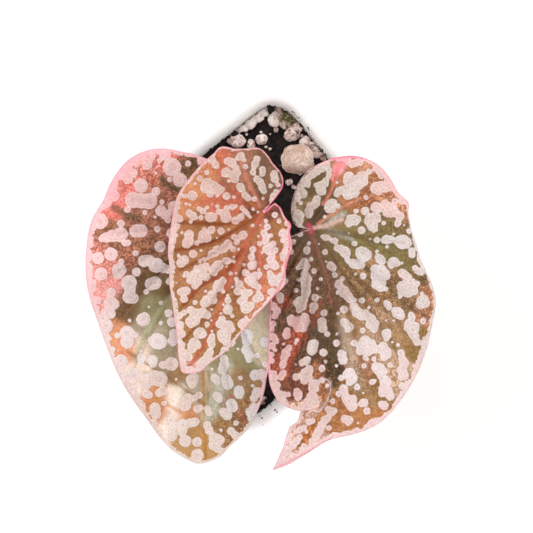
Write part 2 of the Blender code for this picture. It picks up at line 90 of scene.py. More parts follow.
def new_surface(name, noises, **constants):
    """A Principled material, its tree, the object's own coordinates in mm, and a noise for each
    (size in mm, detail, roughness, distortion)."""
    material = bpy.data.materials.new(name)
    material.use_nodes = True
    tree = material.node_tree
    for key, value in constants.items():
        tree.nodes["Principled BSDF"].inputs[key.replace("_", " ")].default_value = value
    place = add_node(tree, "TexCoord", output="Object")
    place = add_node(tree, "VectorMath", {0: place, 1: (1 / MM, 1 / MM, 1 / MM)}, operation="MULTIPLY")
    return material, tree, place, *(
        add_node(tree, "TexNoise", {"Vector": place, "Scale": 1 / size, "Detail": detail, "Roughness": rough,
                                    "Distortion": curl})
        for size, detail, rough, curl in noises)


def finish_surface(material, colour, relief=None, depth=0.0, roughness=None):
    """Links a colour, and a relief of a depth in mm and a roughness where they are given."""
    tree = material.node_tree
    if relief:
        relief = add_node(tree, "Bump", {"Distance": depth * MM, "Height": relief})
    for key, output in (("Base Color", colour), ("Normal", relief), ("Roughness", roughness)):
        if output:
            tree.links.new(output, tree.nodes["Principled BSDF"].inputs[key])
    return material


def mesh_from(shape, name):
    """A smooth shaded mesh of a finished shape."""
    mesh = bpy.data.meshes.new(name)
    shape.to_mesh(mesh)
    shape.free()
    mesh.shade_smooth()
    return mesh


def add_piece(mesh, *materials):
    """Puts a mesh in the scene under its own name."""
    piece = bpy.data.objects.new(mesh.name, mesh)
    bpy.context.scene.collection.objects.link(piece)
    for material in materials:
        mesh.materials.append(material)
    return piece


def outer_half(height):
    return POT_HALF_WIDTH - (POT_HEIGHT - LIP_ROUND - height) * POT_TAPER


def inner_half(height):
    return POT_HALF_WIDTH - POT_WALL - (POT_HEIGHT - height) * POT_TAPER


def rounded_square(half, height, corner_steps=20, side_steps=14):
    """The points of a square with round corners, counter-clockwise, in metres."""
    corner = half - POT_CORNER_CENTRE
    angles = [math.radians(90.0 * step / corner_steps) for step in range(corner_steps + 1)]
    quarter = [Vector((POT_CORNER_CENTRE + corner * math.cos(angle),
                       POT_CORNER_CENTRE + corner * math.sin(angle), height)) for angle in angles]
    quarter += [Vector((POT_CORNER_CENTRE * (1.0 - 2.0 * step / side_steps), half, height))
                for step in range(1, side_steps)]
    turns = [Matrix.Rotation(math.radians(90.0 * side), 3, "Z") for side in range(4)]
    return [turn @ point * MM for turn in turns for point in quarter]


def skinned(shape, loops):
    """Joins rings of vertices into a closed skin."""
    for low, high in zip(loops, loops[1:]):
        for index in range(len(low)):
            after = (index + 1) % len(low)
            shape.faces.new((low[index], low[after], high[after], high[index]))
    shape.faces.new(loops[0][::-1])
    shape.faces.new(loops[-1])


def arc_profile(centre_half, centre_height, radius, start, stop, steps):
    """(half width, height) pairs along an arc, angles in degrees from outwards towards up."""
    angles = [math.radians(start + (stop - start) * step / steps) for step in range(steps + 1)]
    return [(centre_half + radius * math.cos(a), centre_height + radius * math.sin(a)) for a in angles]


def make_pot():
    """The shell as one loft from the foot up the outside, over the rolled rim and down the inside."""
    profile = arc_profile(outer_half(FOOT_ROUND) - FOOT_ROUND, FOOT_ROUND, FOOT_ROUND, -90, -5, 6)
    profile += [(outer_half(height), height) for height in range(8, 86, 6)]
    profile += arc_profile(POT_HALF_WIDTH - LIP_ROUND, POT_HEIGHT - LIP_ROUND, LIP_ROUND, 0, 90, 8)
    profile += arc_profile(inner_half(POT_HEIGHT) + LIP_INNER_ROUND, POT_HEIGHT - LIP_INNER_ROUND,
                           LIP_INNER_ROUND, 90, 180, 5)
    profile += [(inner_half(height), height) for height in range(86, 6, -8)]
    profile += [(inner_half(FLOOR_THICKNESS) - FOOT_ROUND, FLOOR_THICKNESS)]
    shape = bmesh.new()
    skinned(shape, [[shape.verts.new(point) for point in rounded_square(*row)] for row in profile])
    bmesh.ops.recalc_face_normals(shape, faces=shape.faces)
    return mesh_from(shape, "pot_shell")


def drill(piece):
    """Cuts the four drains out of the floor and leaves plain mesh."""
    cutters = []
    for x in (-DRAIN_OFFSET, DRAIN_OFFSET):
        for y in (-DRAIN_OFFSET, DRAIN_OFFSET):
            shape = bmesh.new()
            bmesh.ops.create_cone(shape, cap_ends=True, segments=32, radius1=DRAIN_RADIUS * MM,
                                  radius2=DRAIN_RADIUS * MM, depth=4 * FLOOR_THICKNESS * MM,
                                  matrix=Matrix.Translation((x * MM, y * MM, 0.0)))
            cutters.append(add_piece(mesh_from(shape, "drain_cutter")))
            cut = piece.modifiers.new("Drain", "BOOLEAN")
            cut.operation = "DIFFERENCE"
            cut.object = cutters[-1]
    bpy.context.view_layer.update()
    graph = bpy.context.evaluated_depsgraph_get()
    drilled = bpy.data.meshes.new_from_object(piece.evaluated_get(graph))
    piece.modifiers.clear()
    piece.data = drilled
    for cutter in cutters:
        bpy.data.objects.remove(cutter)
    drilled.shade_smooth()
    drilled.set_sharp_from_angle(angle=SOFT_EDGE)


def pot_material():
    """Smooth white moulding: a soft glow, faint clouds and waves, a few dark specks, and painted light that
    makes the inner wall under the rim whitest against its shade, but for the soil stain low on the wall."""
    material, tree, place, cloud, smear, scatter, rub, wave = new_surface(
        "glossy white pot moulding",
        ((14, 4, 0.55, 0), (2.2, 4, 0.7, 0), (9, 2, 0.55, 0), (2.5, 5, 0.7, 0), (6, 2, 0.55, 0)),
        Specular_IOR_Level=0.4, Subsurface_Weight=0.8, Subsurface_Scale=0.02,
        Subsurface_Radius=(1.0, 0.9, 0.86))
    height = add_node(tree, "SeparateXYZ", {0: place}, "Z")
    # How far out a place is: the half width of the round-cornered square that it lies on.
    half = add_node(tree, "VectorMath", {0: place}, operation="ABSOLUTE")
    half = add_node(tree, "VectorMath", {0: half, 1: (POT_CORNER_CENTRE, POT_CORNER_CENTRE, 1000.0)},
                    operation="SUBTRACT")
    half = add_node(tree, "VectorMath", {0: half, 1: (0.0, 0.0, 0.0)}, operation="MAXIMUM")
    half = add_node(tree, "VectorMath", {0: half}, "Value", operation="LENGTH")
    half = add_node(tree, "Math", {0: half, 1: POT_CORNER_CENTRE}, operation="ADD")
    specks = add_node(tree, "TexVoronoi", {"Vector": place, "Scale": 1 / 2.381})
    skin = lay(tree, "#f7f1ee", "#f1eae6", 1.0, (cloud, 0.35, 0.7))
    # Painted light: the inner wall from just under the rim upwards is painted whiter to offset the shade on
    # it.
    skin = lay(tree, skin, "#fff7f2", 1.0, (half, 48.0, 46.2), (height, 76.0, 78.0))
    skin = lay(tree, skin, "#8d786c", 0.3, (half, 46.6, 45.8), (height, 86.0, 80.5), (height, 77.0, 78.5),
               (smear, 0.50, 0.62))
    skin = lay(tree, skin, "#6f5a4c", 0.7, (specks, 0.16, 0.06), (scatter, 0.60, 0.66))
    rubbed = add_node(tree, "MapRange", {0: rub, 1: 0.3, 2: 0.8, 3: 0.34, 4: 0.55},
                      interpolation_type="SMOOTHSTEP")
    return finish_surface(material, skin, wave, 0.05, rubbed)


pot = add_piece(make_pot(), pot_material())
drill(pot)
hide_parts("pot")
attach(pot, "root")

# Soil
# Peaty potting mix pressed down a finger's breadth under the rim: dark crumbs of several sizes, fibres and
# bark. It fills the pot to its floor, level under the pebble and a little domed at the cane.

PLANT_TURN = math.radians(-38.5)
SOIL_TOP = 81.0
SOIL_LUMP = 1.3
LUMP_SCALES = (0.11, 0.31)
SOIL_DOME = 0.0004
SOIL_SPACING = 0.75
SOIL_CRUMBS = 2600
CRUMB_LEAST = 0.5
CRUMB_SPAN = 1.9
GAP = 0.3
PEBBLE_PLACE = (14.8, 38.2)
PEBBLE_RADIUS = 6.1
PEBBLE_SEAT = 81.2
CAMERA_PLACE = (2.95, -2.0, 590.0)
IMAGE_SIDE = 533.0
FOCAL_PIXELS = 1340.0


def in_pot(across, along):
    """The pot's X and Y of a place given in the plant's own directions."""
    return Matrix.Rotation(PLANT_TURN, 2) @ Vector((across, along))


def plan_of(px, py, height):
    """The plant's (across, along) place that shows at a photograph pixel, for a height."""
    scale = (CAMERA_PLACE[2] - height) / FOCAL_PIXELS
    return CAMERA_PLACE[0] + (px - IMAGE_SIDE / 2) * scale, CAMERA_PLACE[1] + (IMAGE_SIDE / 2 - py) * scale


def soil_height(x, y):
    """The lumpy top of the soil, level under the pebble."""
    place = Vector((x, y, 0.0))
    lumps = noise.noise(place * LUMP_SCALES[0]) + 0.5 * noise.noise(place * LUMP_SCALES[1])
    height = SOIL_TOP + SOIL_LUMP * lumps - SOIL_DOME * place.length_squared
    seat = 1.0 - min(1.0, (place.xy - in_pot(*PEBBLE_PLACE)).length / (1.3 * PEBBLE_RADIUS))
    level = min(1.0, 2.0 * seat)
    return height * (1.0 - level) + (PEBBLE_SEAT - GAP) * level


def inside_outline(points, outline):
    """Which points lie inside a closed outline, by counting crossings."""
    inside = np.zeros(len(points), dtype=bool)
    x, y = points[:, 0], points[:, 1]
    for (x0, y0), (x1, y1) in zip(outline, np.roll(outline, -1, axis=0)):
        if y0 != y1:
            inside ^= ((y0 > y) != (y1 > y)) & (x < (x1 - x0) * (y - y0) / (y1 - y0) + x0)
    return inside


def spaced(line, spacing, closed=False):
    """The line's points set again at an even spacing, its ends kept."""
    line = np.array(line, dtype=float)
    if closed:
        line = np.vstack([line, line[:1]])
    along = np.concatenate([[0.0], np.cumsum(np.hypot(*np.diff(line, axis=0).T))])
    places = np.linspace(0.0, along[-1], max(2, int(round(along[-1] / spacing)) + 1))
    even = np.column_stack([np.interp(places, along, line[:, axis]) for axis in (0, 1)])
    return even[:-1] if closed else even


def nearest(points, places):
    """Distance to the nearest of some points, and which it is, for each place."""
    tree = kdtree.KDTree(len(points))
    for index, (x, y) in enumerate(points):
        tree.insert((x, y, 0.0), index)
    tree.balance()
    found = [tree.find((x, y, 0.0)) for x, y in places]
    return np.array([f[2] for f in found]), np.array([f[1] for f in found])


def triangles_in(outline, spacing):
    """An even triangle net inside a closed outline: its points, the outline's first, and its triangles."""
    low, high = outline.min(axis=0), outline.max(axis=0)
    row_height = spacing * 0.866
    rows, across = int((high[1] - low[1]) / row_height) + 1, int((high[0] - low[0]) / spacing) + 2
    row, column = np.mgrid[0:rows, 0:across]
    grid = np.column_stack([
        (low[0] + (column + 0.5 * (row % 2)) * spacing).ravel(), (low[1] + row * row_height).ravel()])
    grid = grid[inside_outline(grid, outline)]
    grid = grid[nearest(outline, grid)[0] > 0.6 * spacing]
    points = [Vector(point) for point in np.vstack([outline, grid])]
    edges = [(index, (index + 1) % len(outline)) for index in range(len(outline))]
    verts, _, faces, _, _, _ = geometry.delaunay_2d_cdt(points, edges, [], 1, 1e-6)
    return np.array([(v.x, v.y) for v in verts]), np.array([face for face in faces if len(face) == 3])


def triangle_mesh(name, verts, faces):
    """A smooth shaded mesh of points and triangles."""
    mesh = bpy.data.meshes.new(name)
    mesh.vertices.add(len(verts))
    mesh.vertices.foreach_set("co", np.asarray(verts, dtype=np.float32).ravel())
    faces = np.asarray(faces, dtype=np.int32)
    mesh.loops.add(3 * len(faces))
    mesh.loops.foreach_set("vertex_index", faces.ravel())
    mesh.polygons.add(len(faces))
    mesh.polygons.foreach_set("loop_start", np.arange(0, 3 * len(faces), 3, dtype=np.int32))
    mesh.update(calc_edges=True)
    mesh.validate()
    mesh.shade_smooth()
    return mesh


def open_edges(net):
    """The directed edges that only one triangle has."""
    edges = set()
    for a, b, c in net.tolist():
        for edge in ((a, b), (b, c), (c, a)):
            if edge[::-1] in edges:
                edges.remove(edge[::-1])
            else:
                edges.add(edge)
    return sorted(edges)


def crumb_rise(flat):
    """How far the pressed-in crumbs stand up at each point, with none under the pebble."""
    draw = random.Random(5)
    reach = inner_half(SOIL_TOP)
    rise = np.zeros(len(flat))
    order = np.argsort(flat[:, 0])
    across = flat[order, 0]
    for _ in range(SOIL_CRUMBS):
        radius = CRUMB_LEAST + CRUMB_SPAN * draw.random() ** 3
        x, y = draw.uniform(-reach, reach), draw.uniform(-reach, reach)
        squash = draw.uniform(0.7, 1.0)
        first, last = np.searchsorted(across, (x - radius, x + radius))
        chosen = order[first:last]
        away = (flat[chosen, 0] - x) ** 2 + ((flat[chosen, 1] - y) / squash) ** 2
        hit = away < radius * radius
        lump = np.sqrt(radius * radius - away[hit]) * 0.75 - 0.2 * radius
        rise[chosen[hit]] = np.maximum(rise[chosen[hit]], lump)
    seat = np.hypot(*(flat - np.array(in_pot(*PEBBLE_PLACE))).T)
    return rise * np.clip((seat - 5.0) / 1.5, 0.0, 1.0)


def make_soil():
    """The crumbly top, its edge carried down the pot's wall to the floor."""
    edge_half = inner_half(SOIL_TOP - 0.6) - GAP
    edge = np.array([(point.x / MM, point.y / MM) for point in rounded_square(edge_half, 0.0)])
    flat, faces = triangles_in(spaced(edge, SOIL_SPACING, True), SOIL_SPACING)
    height = np.array([soil_height(x, y) for x, y in flat])
    top = np.column_stack([flat, height + crumb_rise(flat) - 0.25]) * MM
    after = dict(open_edges(faces))
    loop = [next(iter(after))]
    while after[loop[-1]] != loop[0]:
        loop.append(after[loop[-1]])
    verts, sides = [tuple(point) for point in top], faces.tolist()
    upper = loop
    for drop in (SOIL_TOP - 20.0, 40.0, FLOOR_THICKNESS + GAP):
        shrink = (inner_half(drop) - GAP) / edge_half
        ring = list(range(len(verts), len(verts) + len(loop)))
        verts += [(top[index][0] * shrink, top[index][1] * shrink, drop * MM) for index in loop]
        for a, b, c, d in zip(upper, upper[1:] + upper[:1], ring, ring[1:] + ring[:1]):
            sides += [(a, c, d), (a, d, b)]
        upper = ring
    verts.append((0.0, 0.0, (FLOOR_THICKNESS + GAP) * MM))
    sides += [(a, len(verts) - 1, b) for a, b in zip(upper, upper[1:] + upper[:1])]
    return triangle_mesh("soil_crumbs", verts, sides)


def soil_material():
    """Moist peat, near black and dull; browner crumbs and pale fibres keep it from reading as a hole."""
    material, tree, _, lump, tone, fibre, fine = new_surface(
        "moist peat crumbs", ((2.2, 4, 0.65, 0), (7, 2, 0.55, 0), (1.42857, 2, 0.5, 2.5), (0.7, 6, 0.7, 0)),
        Roughness=0.9, Specular_IOR_Level=0.25)
    peat = lay(tree, "#120e0d", "#2b2220", 1.0, (lump, 0.35, 0.68))
    peat = lay(tree, peat, "#3b2a22", 0.6, (tone, 0.55, 0.75))
    peat = lay(tree, peat, "#6b5145", 0.45, (fibre, 0.70, 0.76))
    return finish_surface(material, peat, fine, 0.35)


soil = add_piece(make_soil(), soil_material())
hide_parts("soil")
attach(soil, "root")

# Loose crumbs
# The same peat: a ragged seam of crumbs where the soil meets the wall, and a few left on the rim when the pot
# was filled. RIM_CRUMBS are (x, y, radius in mm) and DIRT_LINES (radius in mm, then the points of a line),
# with places in photograph pixels; BARE_WALL are (x, y, reach in pixels) where the wall has none.

RIM_CRUMBS = [
    (261, 111, 0.5), (263.5, 109.5, 0.4), (270, 106.5, 0.35), (253, 121, 0.4), (256.5, 120, 0.35),
    (243, 127, 0.5), (234, 131, 0.4), (228, 137, 0.5), (223, 142, 0.6), (277, 412, 0.35), (262, 418, 0.4),
    (260, 416, 0.3), (275, 410, 0.45), (271, 405, 0.35), (308, 128, 0.5), (309, 130, 0.4), (262, 117, 0.7),
    (258, 119, 0.8), (265, 114, 0.6), (248, 124, 0.7), (251, 122, 0.6), (268, 108, 0.5), (240, 129, 0.6),
]
DIRT_LINES = [
    (0.22, (291, 110), (295, 114), (298, 118), (301, 122)),
    (0.20, (304, 128), (309, 134), (313, 139), (317, 143)),
    (0.28, (318, 146), (321, 149), (325, 153), (327, 157)),
    (0.45, (249, 421), (252, 418), (256, 414.5), (261, 411), (265, 407.5), (269, 405)),
]
WALL_CRUMBS = 640
BARE_WALL = [(281, 115, 9), (298, 118, 7), (318, 143, 8), (252, 120, 7), (262, 112, 6)]
PIXELS_PER_MM = 2.7
CRUMB_STEP_DOWN = 0.25
CRUMB_CLIMB = 7.5


def square_offset(x, y):
    """How far out a place is, as the half width of the round-cornered square that it lies on."""
    over_x, over_y = abs(x) - POT_CORNER_CENTRE, abs(y) - POT_CORNER_CENTRE
    if over_x > 0.0 and over_y > 0.0:
        return POT_CORNER_CENTRE + math.hypot(over_x, over_y)
    return max(abs(x), abs(y))


def add_lump(shape, place, radius, turn, squash, seed, detail=3):
    """Adds one angular lump to a shape."""
    made = bmesh.ops.create_icosphere(shape, subdivisions=detail, radius=1.0)
    for vert in made["verts"]:
        way = vert.co.normalized()
        facets = noise.voronoi(way * 1.3 + Vector((seed, 0.0, 0.0)))[0][0]
        fine = noise.noise(way * 4.0 + Vector((0.0, seed, 0.0)))
        rough = noise.noise(way * 11.0 + Vector((seed, 4.0, 0.0)))
        size = radius * (0.84 + 0.24 * facets + 0.12 * fine + 0.07 * rough)
        vert.co = turn @ Vector((way.x * size, way.y * size * squash, way.z * size * 0.8))
        vert.co = (vert.co + place) * MM


def rim_places(draw):
    """(x, y, radius) of every crumb on the rim, those strewn along the dirt lines among them."""
    rim = list(RIM_CRUMBS)
    for radius, *points in DIRT_LINES:
        for (x0, y0), (x1, y1) in zip(points, points[1:]):
            for _ in range(4):
                share, aside = draw.random(), draw.gauss(0.0, 0.5)
                rim.append((x0 + (x1 - x0) * share + aside, y0 + (y1 - y0) * share - aside,
                            radius * (0.4 + 1.6 * draw.random() ** 2)))
    return rim


def make_crumbs():
    """Crumbs on the rim, let down the wall where they show inside it, and a heap of them along the wall."""
    draw = random.Random(41)
    shape = bmesh.new()
    for px, py, radius in rim_places(draw):
        height = POT_HEIGHT + 0.3 * radius
        spot = in_pot(*plan_of(px, py, height))
        while square_offset(*spot) < inner_half(height) - 0.3 * radius and height > SOIL_TOP:
            height -= CRUMB_STEP_DOWN
            spot = in_pot(*plan_of(px, py, height))
        turn = Matrix.Rotation(draw.uniform(0.0, math.tau), 3, "Z")
        add_lump(shape, Vector((spot.x, spot.y, height)), radius, turn, draw.uniform(0.4, 0.8), px, 2)
    wall = rounded_square(inner_half(SOIL_TOP), 0.0, 30, 60)
    bare = [(in_pot(*plan_of(px, py, SOIL_TOP)), reach / PIXELS_PER_MM) for px, py, reach in BARE_WALL]
    for number in range(WALL_CRUMBS):
        point = wall[draw.randrange(len(wall))] / MM
        radius = 0.4 + 1.5 * draw.random() ** 2
        heap = max(0.0, noise.noise(Vector((point.x * 0.16, point.y * 0.16, 5.0))) + 0.25)
        climb = CRUMB_CLIMB * heap * draw.random() ** 1.6
        inward = 1.0 - (GAP + 0.45 * radius + draw.uniform(0.0, 1.2)) / point.length
        inward += climb * POT_TAPER / point.length
        place = Vector((point.x * inward, point.y * inward, soil_height(point.x, point.y) + climb - 0.2))
        turn = Matrix.Rotation(draw.uniform(0.0, math.tau), 3, "Z")
        squash = draw.uniform(0.6, 0.95)
        if all((spot - place.xy).length >= reach for spot, reach in bare):
            add_lump(shape, place, radius, turn, squash, number * 1.9, 2)
    return mesh_from(shape, "loose_peat_crumbs")


crumbs = add_piece(make_crumbs(), soil.data.materials[0])
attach(crumbs, "root")

# Perlite grains
# Expanded volcanic glass, soft angular lumps stained pink-beige by the peat they lie in. OPEN_GRAINS are
# (across, along, radius) in mm where the soil lies open, SMALL_GRAINS_IN_PHOTO and CRUST_AND_PAINTED_LIGHT_IN_PHOTO (x, y in
# photograph pixels, radius in mm), and the rest are strewn by a seeded rule under the leaves.

OPEN_GRAINS = [
    (-8.2, 45.9, 3.5), (-2.9, 44.4, 2.1), (1.2, 46.3, 2.5), (6.6, 50.1, 1.1), (12.6, 48.2, 3.2),
    (17.9, 46.3, 2.5), (21.7, 41.4, 2.1), (8.1, 55.2, 2.6), (11.4, 30, 1.3), (1.6, -53.4, 1.9),
    (5.9, 53.6, 3), (10.6, 53, 3.3),
]
SMALL_GRAINS_IN_PHOTO = [
    (261, 132, 0.7), (246.5, 134, 0.6), (270, 149, 0.7), (280, 165, 0.7), (290, 182, 1.3), (294, 187, 1.1),
    (302, 136, 0.8), (277, 113, 2.6), (275, 119, 2.1), (286, 111, 2.4), (288, 118, 2.5), (285, 124, 1.7),
    (281, 107, 1.2), (298, 118, 1.3), (301, 122, 1.2), (299, 127, 1), (232, 131, 0.9), (237, 129, 0.9),
    (229, 141, 1.2), (313, 147, 1.3), (321, 152, 1.4), (323, 157, 0.9), (316, 156, 1), (238, 128, 1.1),
    (252, 409, 1.3), (257, 406, 1.5), (247, 414, 1), (262, 404, 1.1), (311, 164, 1.4), (305, 169, 1.2),
    (300, 173, 1), (311, 170, 0.9), (270, 134, 0.4), (266, 147, 0.6), (308, 145, 0.8), (293, 112, 1.5),
    (295, 118, 1.6), (298, 123, 1.3), (314, 138, 1.4), (318, 143, 1.5), (322, 149, 1.3),
]
# Crushed perlite that dried on as a white crust, heaped against the wall; partly painted light, its white
# standing in for light on the shaded foot of the wall.
CRUST_AND_PAINTED_LIGHT_IN_PHOTO = [
    (241, 127.5, 1.3), (244, 125.5, 1.7), (247, 123, 1.5), (250, 121, 2), (253, 118.5, 1.8),
    (256, 116.5, 1.6), (259, 114.5, 2), (262, 112.5, 1.7), (265, 110.5, 1.8), (268, 108.5, 1.3),
    (251, 124, 1.1), (256, 120, 1.2), (261, 116.5, 1), (266, 113, 0.9), (299, 116, 1.5), (302, 120, 1.3),
    (311, 133, 1.2), (315, 138, 1.3), (319, 143, 1.5), (323, 149, 1.4), (326, 154, 1.2),
]
LOOSE_GRAINS = 90
GRAIN_RISE = 0.3
CRUST_AND_PAINTED_LIGHT_RISE = 1.0
ALGAE_PIXEL = (289, 116)
CRUST_AND_PAINTED_LIGHT_PIXEL = (252, 117)


def make_grains():
    """Every grain as an angular lump, sunk a little in the soil and kept clear of the wall."""
    draw = random.Random(23)
    shape = bmesh.new()
    grains = list(OPEN_GRAINS)
    grains += [(*plan_of(px, py, SOIL_TOP), radius) for px, py, radius in SMALL_GRAINS_IN_PHOTO]
    reach = inner_half(SOIL_TOP) - 3.0
    while len(grains) < LOOSE_GRAINS:
        spot = Vector((draw.uniform(-reach, reach), draw.uniform(-reach, reach)))
        spot.rotate(Matrix.Rotation(-PLANT_TURN, 2))
        if -50.0 < spot.y < 26.0 and abs(spot.x) < 55.0:
            grains.append((spot.x, spot.y, draw.uniform(0.5, 1.9)))
    crust = [(*plan_of(px, py, SOIL_TOP + 1.5), radius) for px, py, radius in CRUST_AND_PAINTED_LIGHT_IN_PHOTO]
    for number, (across, along, radius) in enumerate(grains + crust):
        rise = GRAIN_RISE if number < len(grains) else CRUST_AND_PAINTED_LIGHT_RISE
        spot = in_pot(across, along)
        half = inner_half(SOIL_TOP) - GAP - 1.1 * radius
        if max(abs(spot.x), abs(spot.y)) > half:
            spot *= half / max(abs(spot.x), abs(spot.y))
        turn = Matrix.Rotation(draw.uniform(0.0, math.tau), 3, "Z")
        place = Vector((spot.x, spot.y, soil_height(*spot) + rise * radius))
        add_lump(shape, place, radius, turn, draw.uniform(0.75, 0.95), number * 3.7)
    return mesh_from(shape, "perlite_grains")


def perlite_material():
    """Chalky, porous perlite: pale faces, pink-brown stain in the hollows, a green film of algae on one lump
    and clean white on the crust, partly painted light standing in for light on the wall's shaded foot."""
    material, tree, place, cloud, patches, dirt = new_surface(
        "stained perlite", ((1.6, 5, 0.65, 0), (1.5, 4, 0.7, 0), (3, 3, 0.55, 0)),
        Roughness=0.95, Specular_IOR_Level=0.2)
    pits = add_node(tree, "TexVoronoi", {"Vector": place, "Scale": 1 / 0.416667})
    from_algae, from_crust_and_painted_light = (
        add_node(tree, "VectorMath", {0: place, 1: (*in_pot(*plan_of(*pixel, SOIL_TOP)), SOIL_TOP)}, "Value",
                 operation="DISTANCE")
        for pixel in (ALGAE_PIXEL, CRUST_AND_PAINTED_LIGHT_PIXEL))
    film = add_node(tree, "MapRange", {0: patches, 1: 0.36, 2: 0.52, 3: 0.4}, interpolation_type="SMOOTHSTEP")
    chalk = lay(tree, "#a88980", "#f2e0d8", 1.0, (cloud, 0.38, 0.58))
    chalk = lay(tree, chalk, "#5c5630", film, (from_algae, 5.2, 3.4))
    # Partly painted light: the crust by the wall is whitened to stand in for light on the shaded wall there.
    chalk = lay(tree, chalk, "#f8f1ec", 0.8, (from_crust_and_painted_light, 9.5, 7.5))
    chalk = lay(tree, chalk, "#4a3731", 0.7, (pits, 0.25, 0.08))
    chalk = lay(tree, chalk, "#2e2320", 0.85, (dirt, 0.60, 0.70))
    return finish_surface(material, chalk, cloud, 0.25)


grains = add_piece(make_grains(), perlite_material())
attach(grains, "root")

# Pebble
# One tumbled lump of pumice lying loose on the soil: rounded, warm beige, open pores over its whole skin.
# PITS are (pores per mm, shift, depth as a share of the radius).

PEBBLE_SQUEEZE = 0.86
PEBBLE_FLATTEN = 0.8
PEBBLE_SQUARENESS = 2.5
PEBBLE_WAVES = ((0.25, 0.12), (0.6, 0.06), (2.0, 0.018), (5.0, 0.010))
PITS = ((1.1, (0.0, 0.0, 0.0), 0.030), (2.7, (9.0, 2.0, 4.0), 0.014))
PIT_REACH = 0.4


def make_pebble():
    """The lump, its coarse form and pits both moved in the mesh, resting on the soil's level seat."""
    shape = bmesh.new()
    bmesh.ops.create_icosphere(shape, subdivisions=6, radius=PEBBLE_RADIUS * MM)
    for vert in shape.verts:
        place = vert.co / MM
        size = 1.0 + sum(depth * noise.noise(place * scale) for scale, depth in PEBBLE_WAVES)
        for scale, shift, depth in PITS:
            away = noise.voronoi(place * scale + Vector(shift))[0][0]
            size -= depth * max(0.0, 1.0 - away / PIT_REACH)
        way = vert.co.normalized()
        vert.co *= size * sum(abs(part) ** PEBBLE_SQUARENESS for part in way) ** (-1.0 / PEBBLE_SQUARENESS)
        vert.co.y *= PEBBLE_SQUEEZE
        vert.co.z *= PEBBLE_FLATTEN
    lowest = min(vert.co.z for vert in shape.verts)
    spot = in_pot(*PEBBLE_PLACE)
    move = Matrix.Translation((spot.x * MM, spot.y * MM, PEBBLE_SEAT * MM - lowest))
    shape.transform(move @ Matrix.Rotation(PLANT_TURN, 4, "Z"))
    return mesh_from(shape, "pumice_lump")


def pumice_material():
    """Dry porous pumice with no shine: warm beige skin, browner flecks and creases, dark pores."""
    material, tree, place, cloud, fleck, crease = new_surface(
        "dry porous pumice", ((3.6, 4, 0.55, 0), (0.7, 3, 0.7, 0), (2.6, 3, 0.6, 1.5)),
        Roughness=0.95, Specular_IOR_Level=0.2)
    crease = add_node(tree, "Math", {0: crease, 1: 0.5}, operation="SUBTRACT")
    crease = add_node(tree, "Math", {0: crease}, operation="ABSOLUTE")
    pores = add_node(tree, "TexVoronoi", {"Vector": place, "Scale": 1 / 1.11111})
    stone = lay(tree, "#cbab99", "#e9d5c8", 1.0, (cloud, 0.36, 0.66))
    stone = lay(tree, stone, "#b8927e", 0.45, (fleck, 0.52, 0.66))
    stone = lay(tree, stone, "#94705e", 0.55, (crease, 0.045, 0.008))
    stone = lay(tree, stone, "#7c5e50", 0.2, (pores, 0.26, 0.10))
    return finish_surface(material, stone, fleck, 0.3)


pebble = add_piece(make_pebble(), pumice_material())
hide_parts("pumice_pebble")
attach(pebble, "root")

# Cane
# The short upright stem with swollen joints, and the three leaf stalks that grow from it. All of it is one
# fleshy growth, reddish green, flecked with pale lenticels and clothed in short soft hairs.
# CANE_LINE is (across, along, height, radius) from the soil up.

CANE_LINE = [
    (-0.5, 2.0, 59.0, 3.0), (-0.5, 2.0, 85.0, 3.0), (-0.1, 2.5, 94.0, 2.7), (0.1, 2.8, 97.0, 3.3),
    (0.4, 3.2, 100.0, 2.6), (1.3, 4.6, 110.0, 2.4), (1.5, 5.0, 113.0, 3.0), (1.6, 5.3, 116.0, 2.3),
    (1.9, 6.8, 128.0, 2.1), (2.0, 7.4, 131.0, 2.6), (2.1, 8.1, 134.5, 1.8), (2.1, 8.6, 136.5, 1.0),
]
STALK_RADIUS = 1.6
STALK_TOP_RADIUS = 1.25
STALK_SWELL = 0.35
STALK_RISE = 7.0
BLADE_THICKNESS = 0.8
HAIRS_PER_POINT = 13
HAIR_LOWEST = 84.0
HAIR_WIDTH = 0.05

# Each blade is given around its hub, where its stalk meets it: outline points (bearing in degrees from
# across towards along, reach in mm) and veins (bearing at the margin, bearing where they leave the hub).
LEFT_BLADE = {
    "name": "leaf_left",
    "hub": (-15.5, 12.0, 138.0),
    "stalk": [(0.1, 2.7, 97.0), (-6.3, 4.9, 108.0), (-12.8, 8.9, 122.0)],
    "lean": (0.06, 0.105), "fold": 0.195, "arch": 0.0012,
    "outlines": [[
        (52, 6), (60, 12), (75, 18), (95, 22.6), (111, 26.5), (127, 32.6), (142, 36.1), (156, 37.5),
        (168, 38.1), (178, 41.2), (193, 44.6), (207, 48.4), (221, 52.9), (231, 58.0), (241, 65.0),
        (250, 72.4), (258, 81.0), (263, 84.4), (266, 85.5), (271, 82.6), (274, 78.5), (280, 72.0),
        (287, 60.6), (290, 55.0), (299, 45), (310, 35), (322, 26), (334, 18), (346, 13.5),
        (362, 11.5), (384, 9), (396, 6),
    ]],
    "veins": [
        (74, 68), (104, 100), (136, 130), (162, 158), (186, 184), (208, 205), (226, 222), (241, 239),
        (254, 252), (265.8, 264), (277, 272), (290, 280), (312, 296), (345, 330),
    ],
}
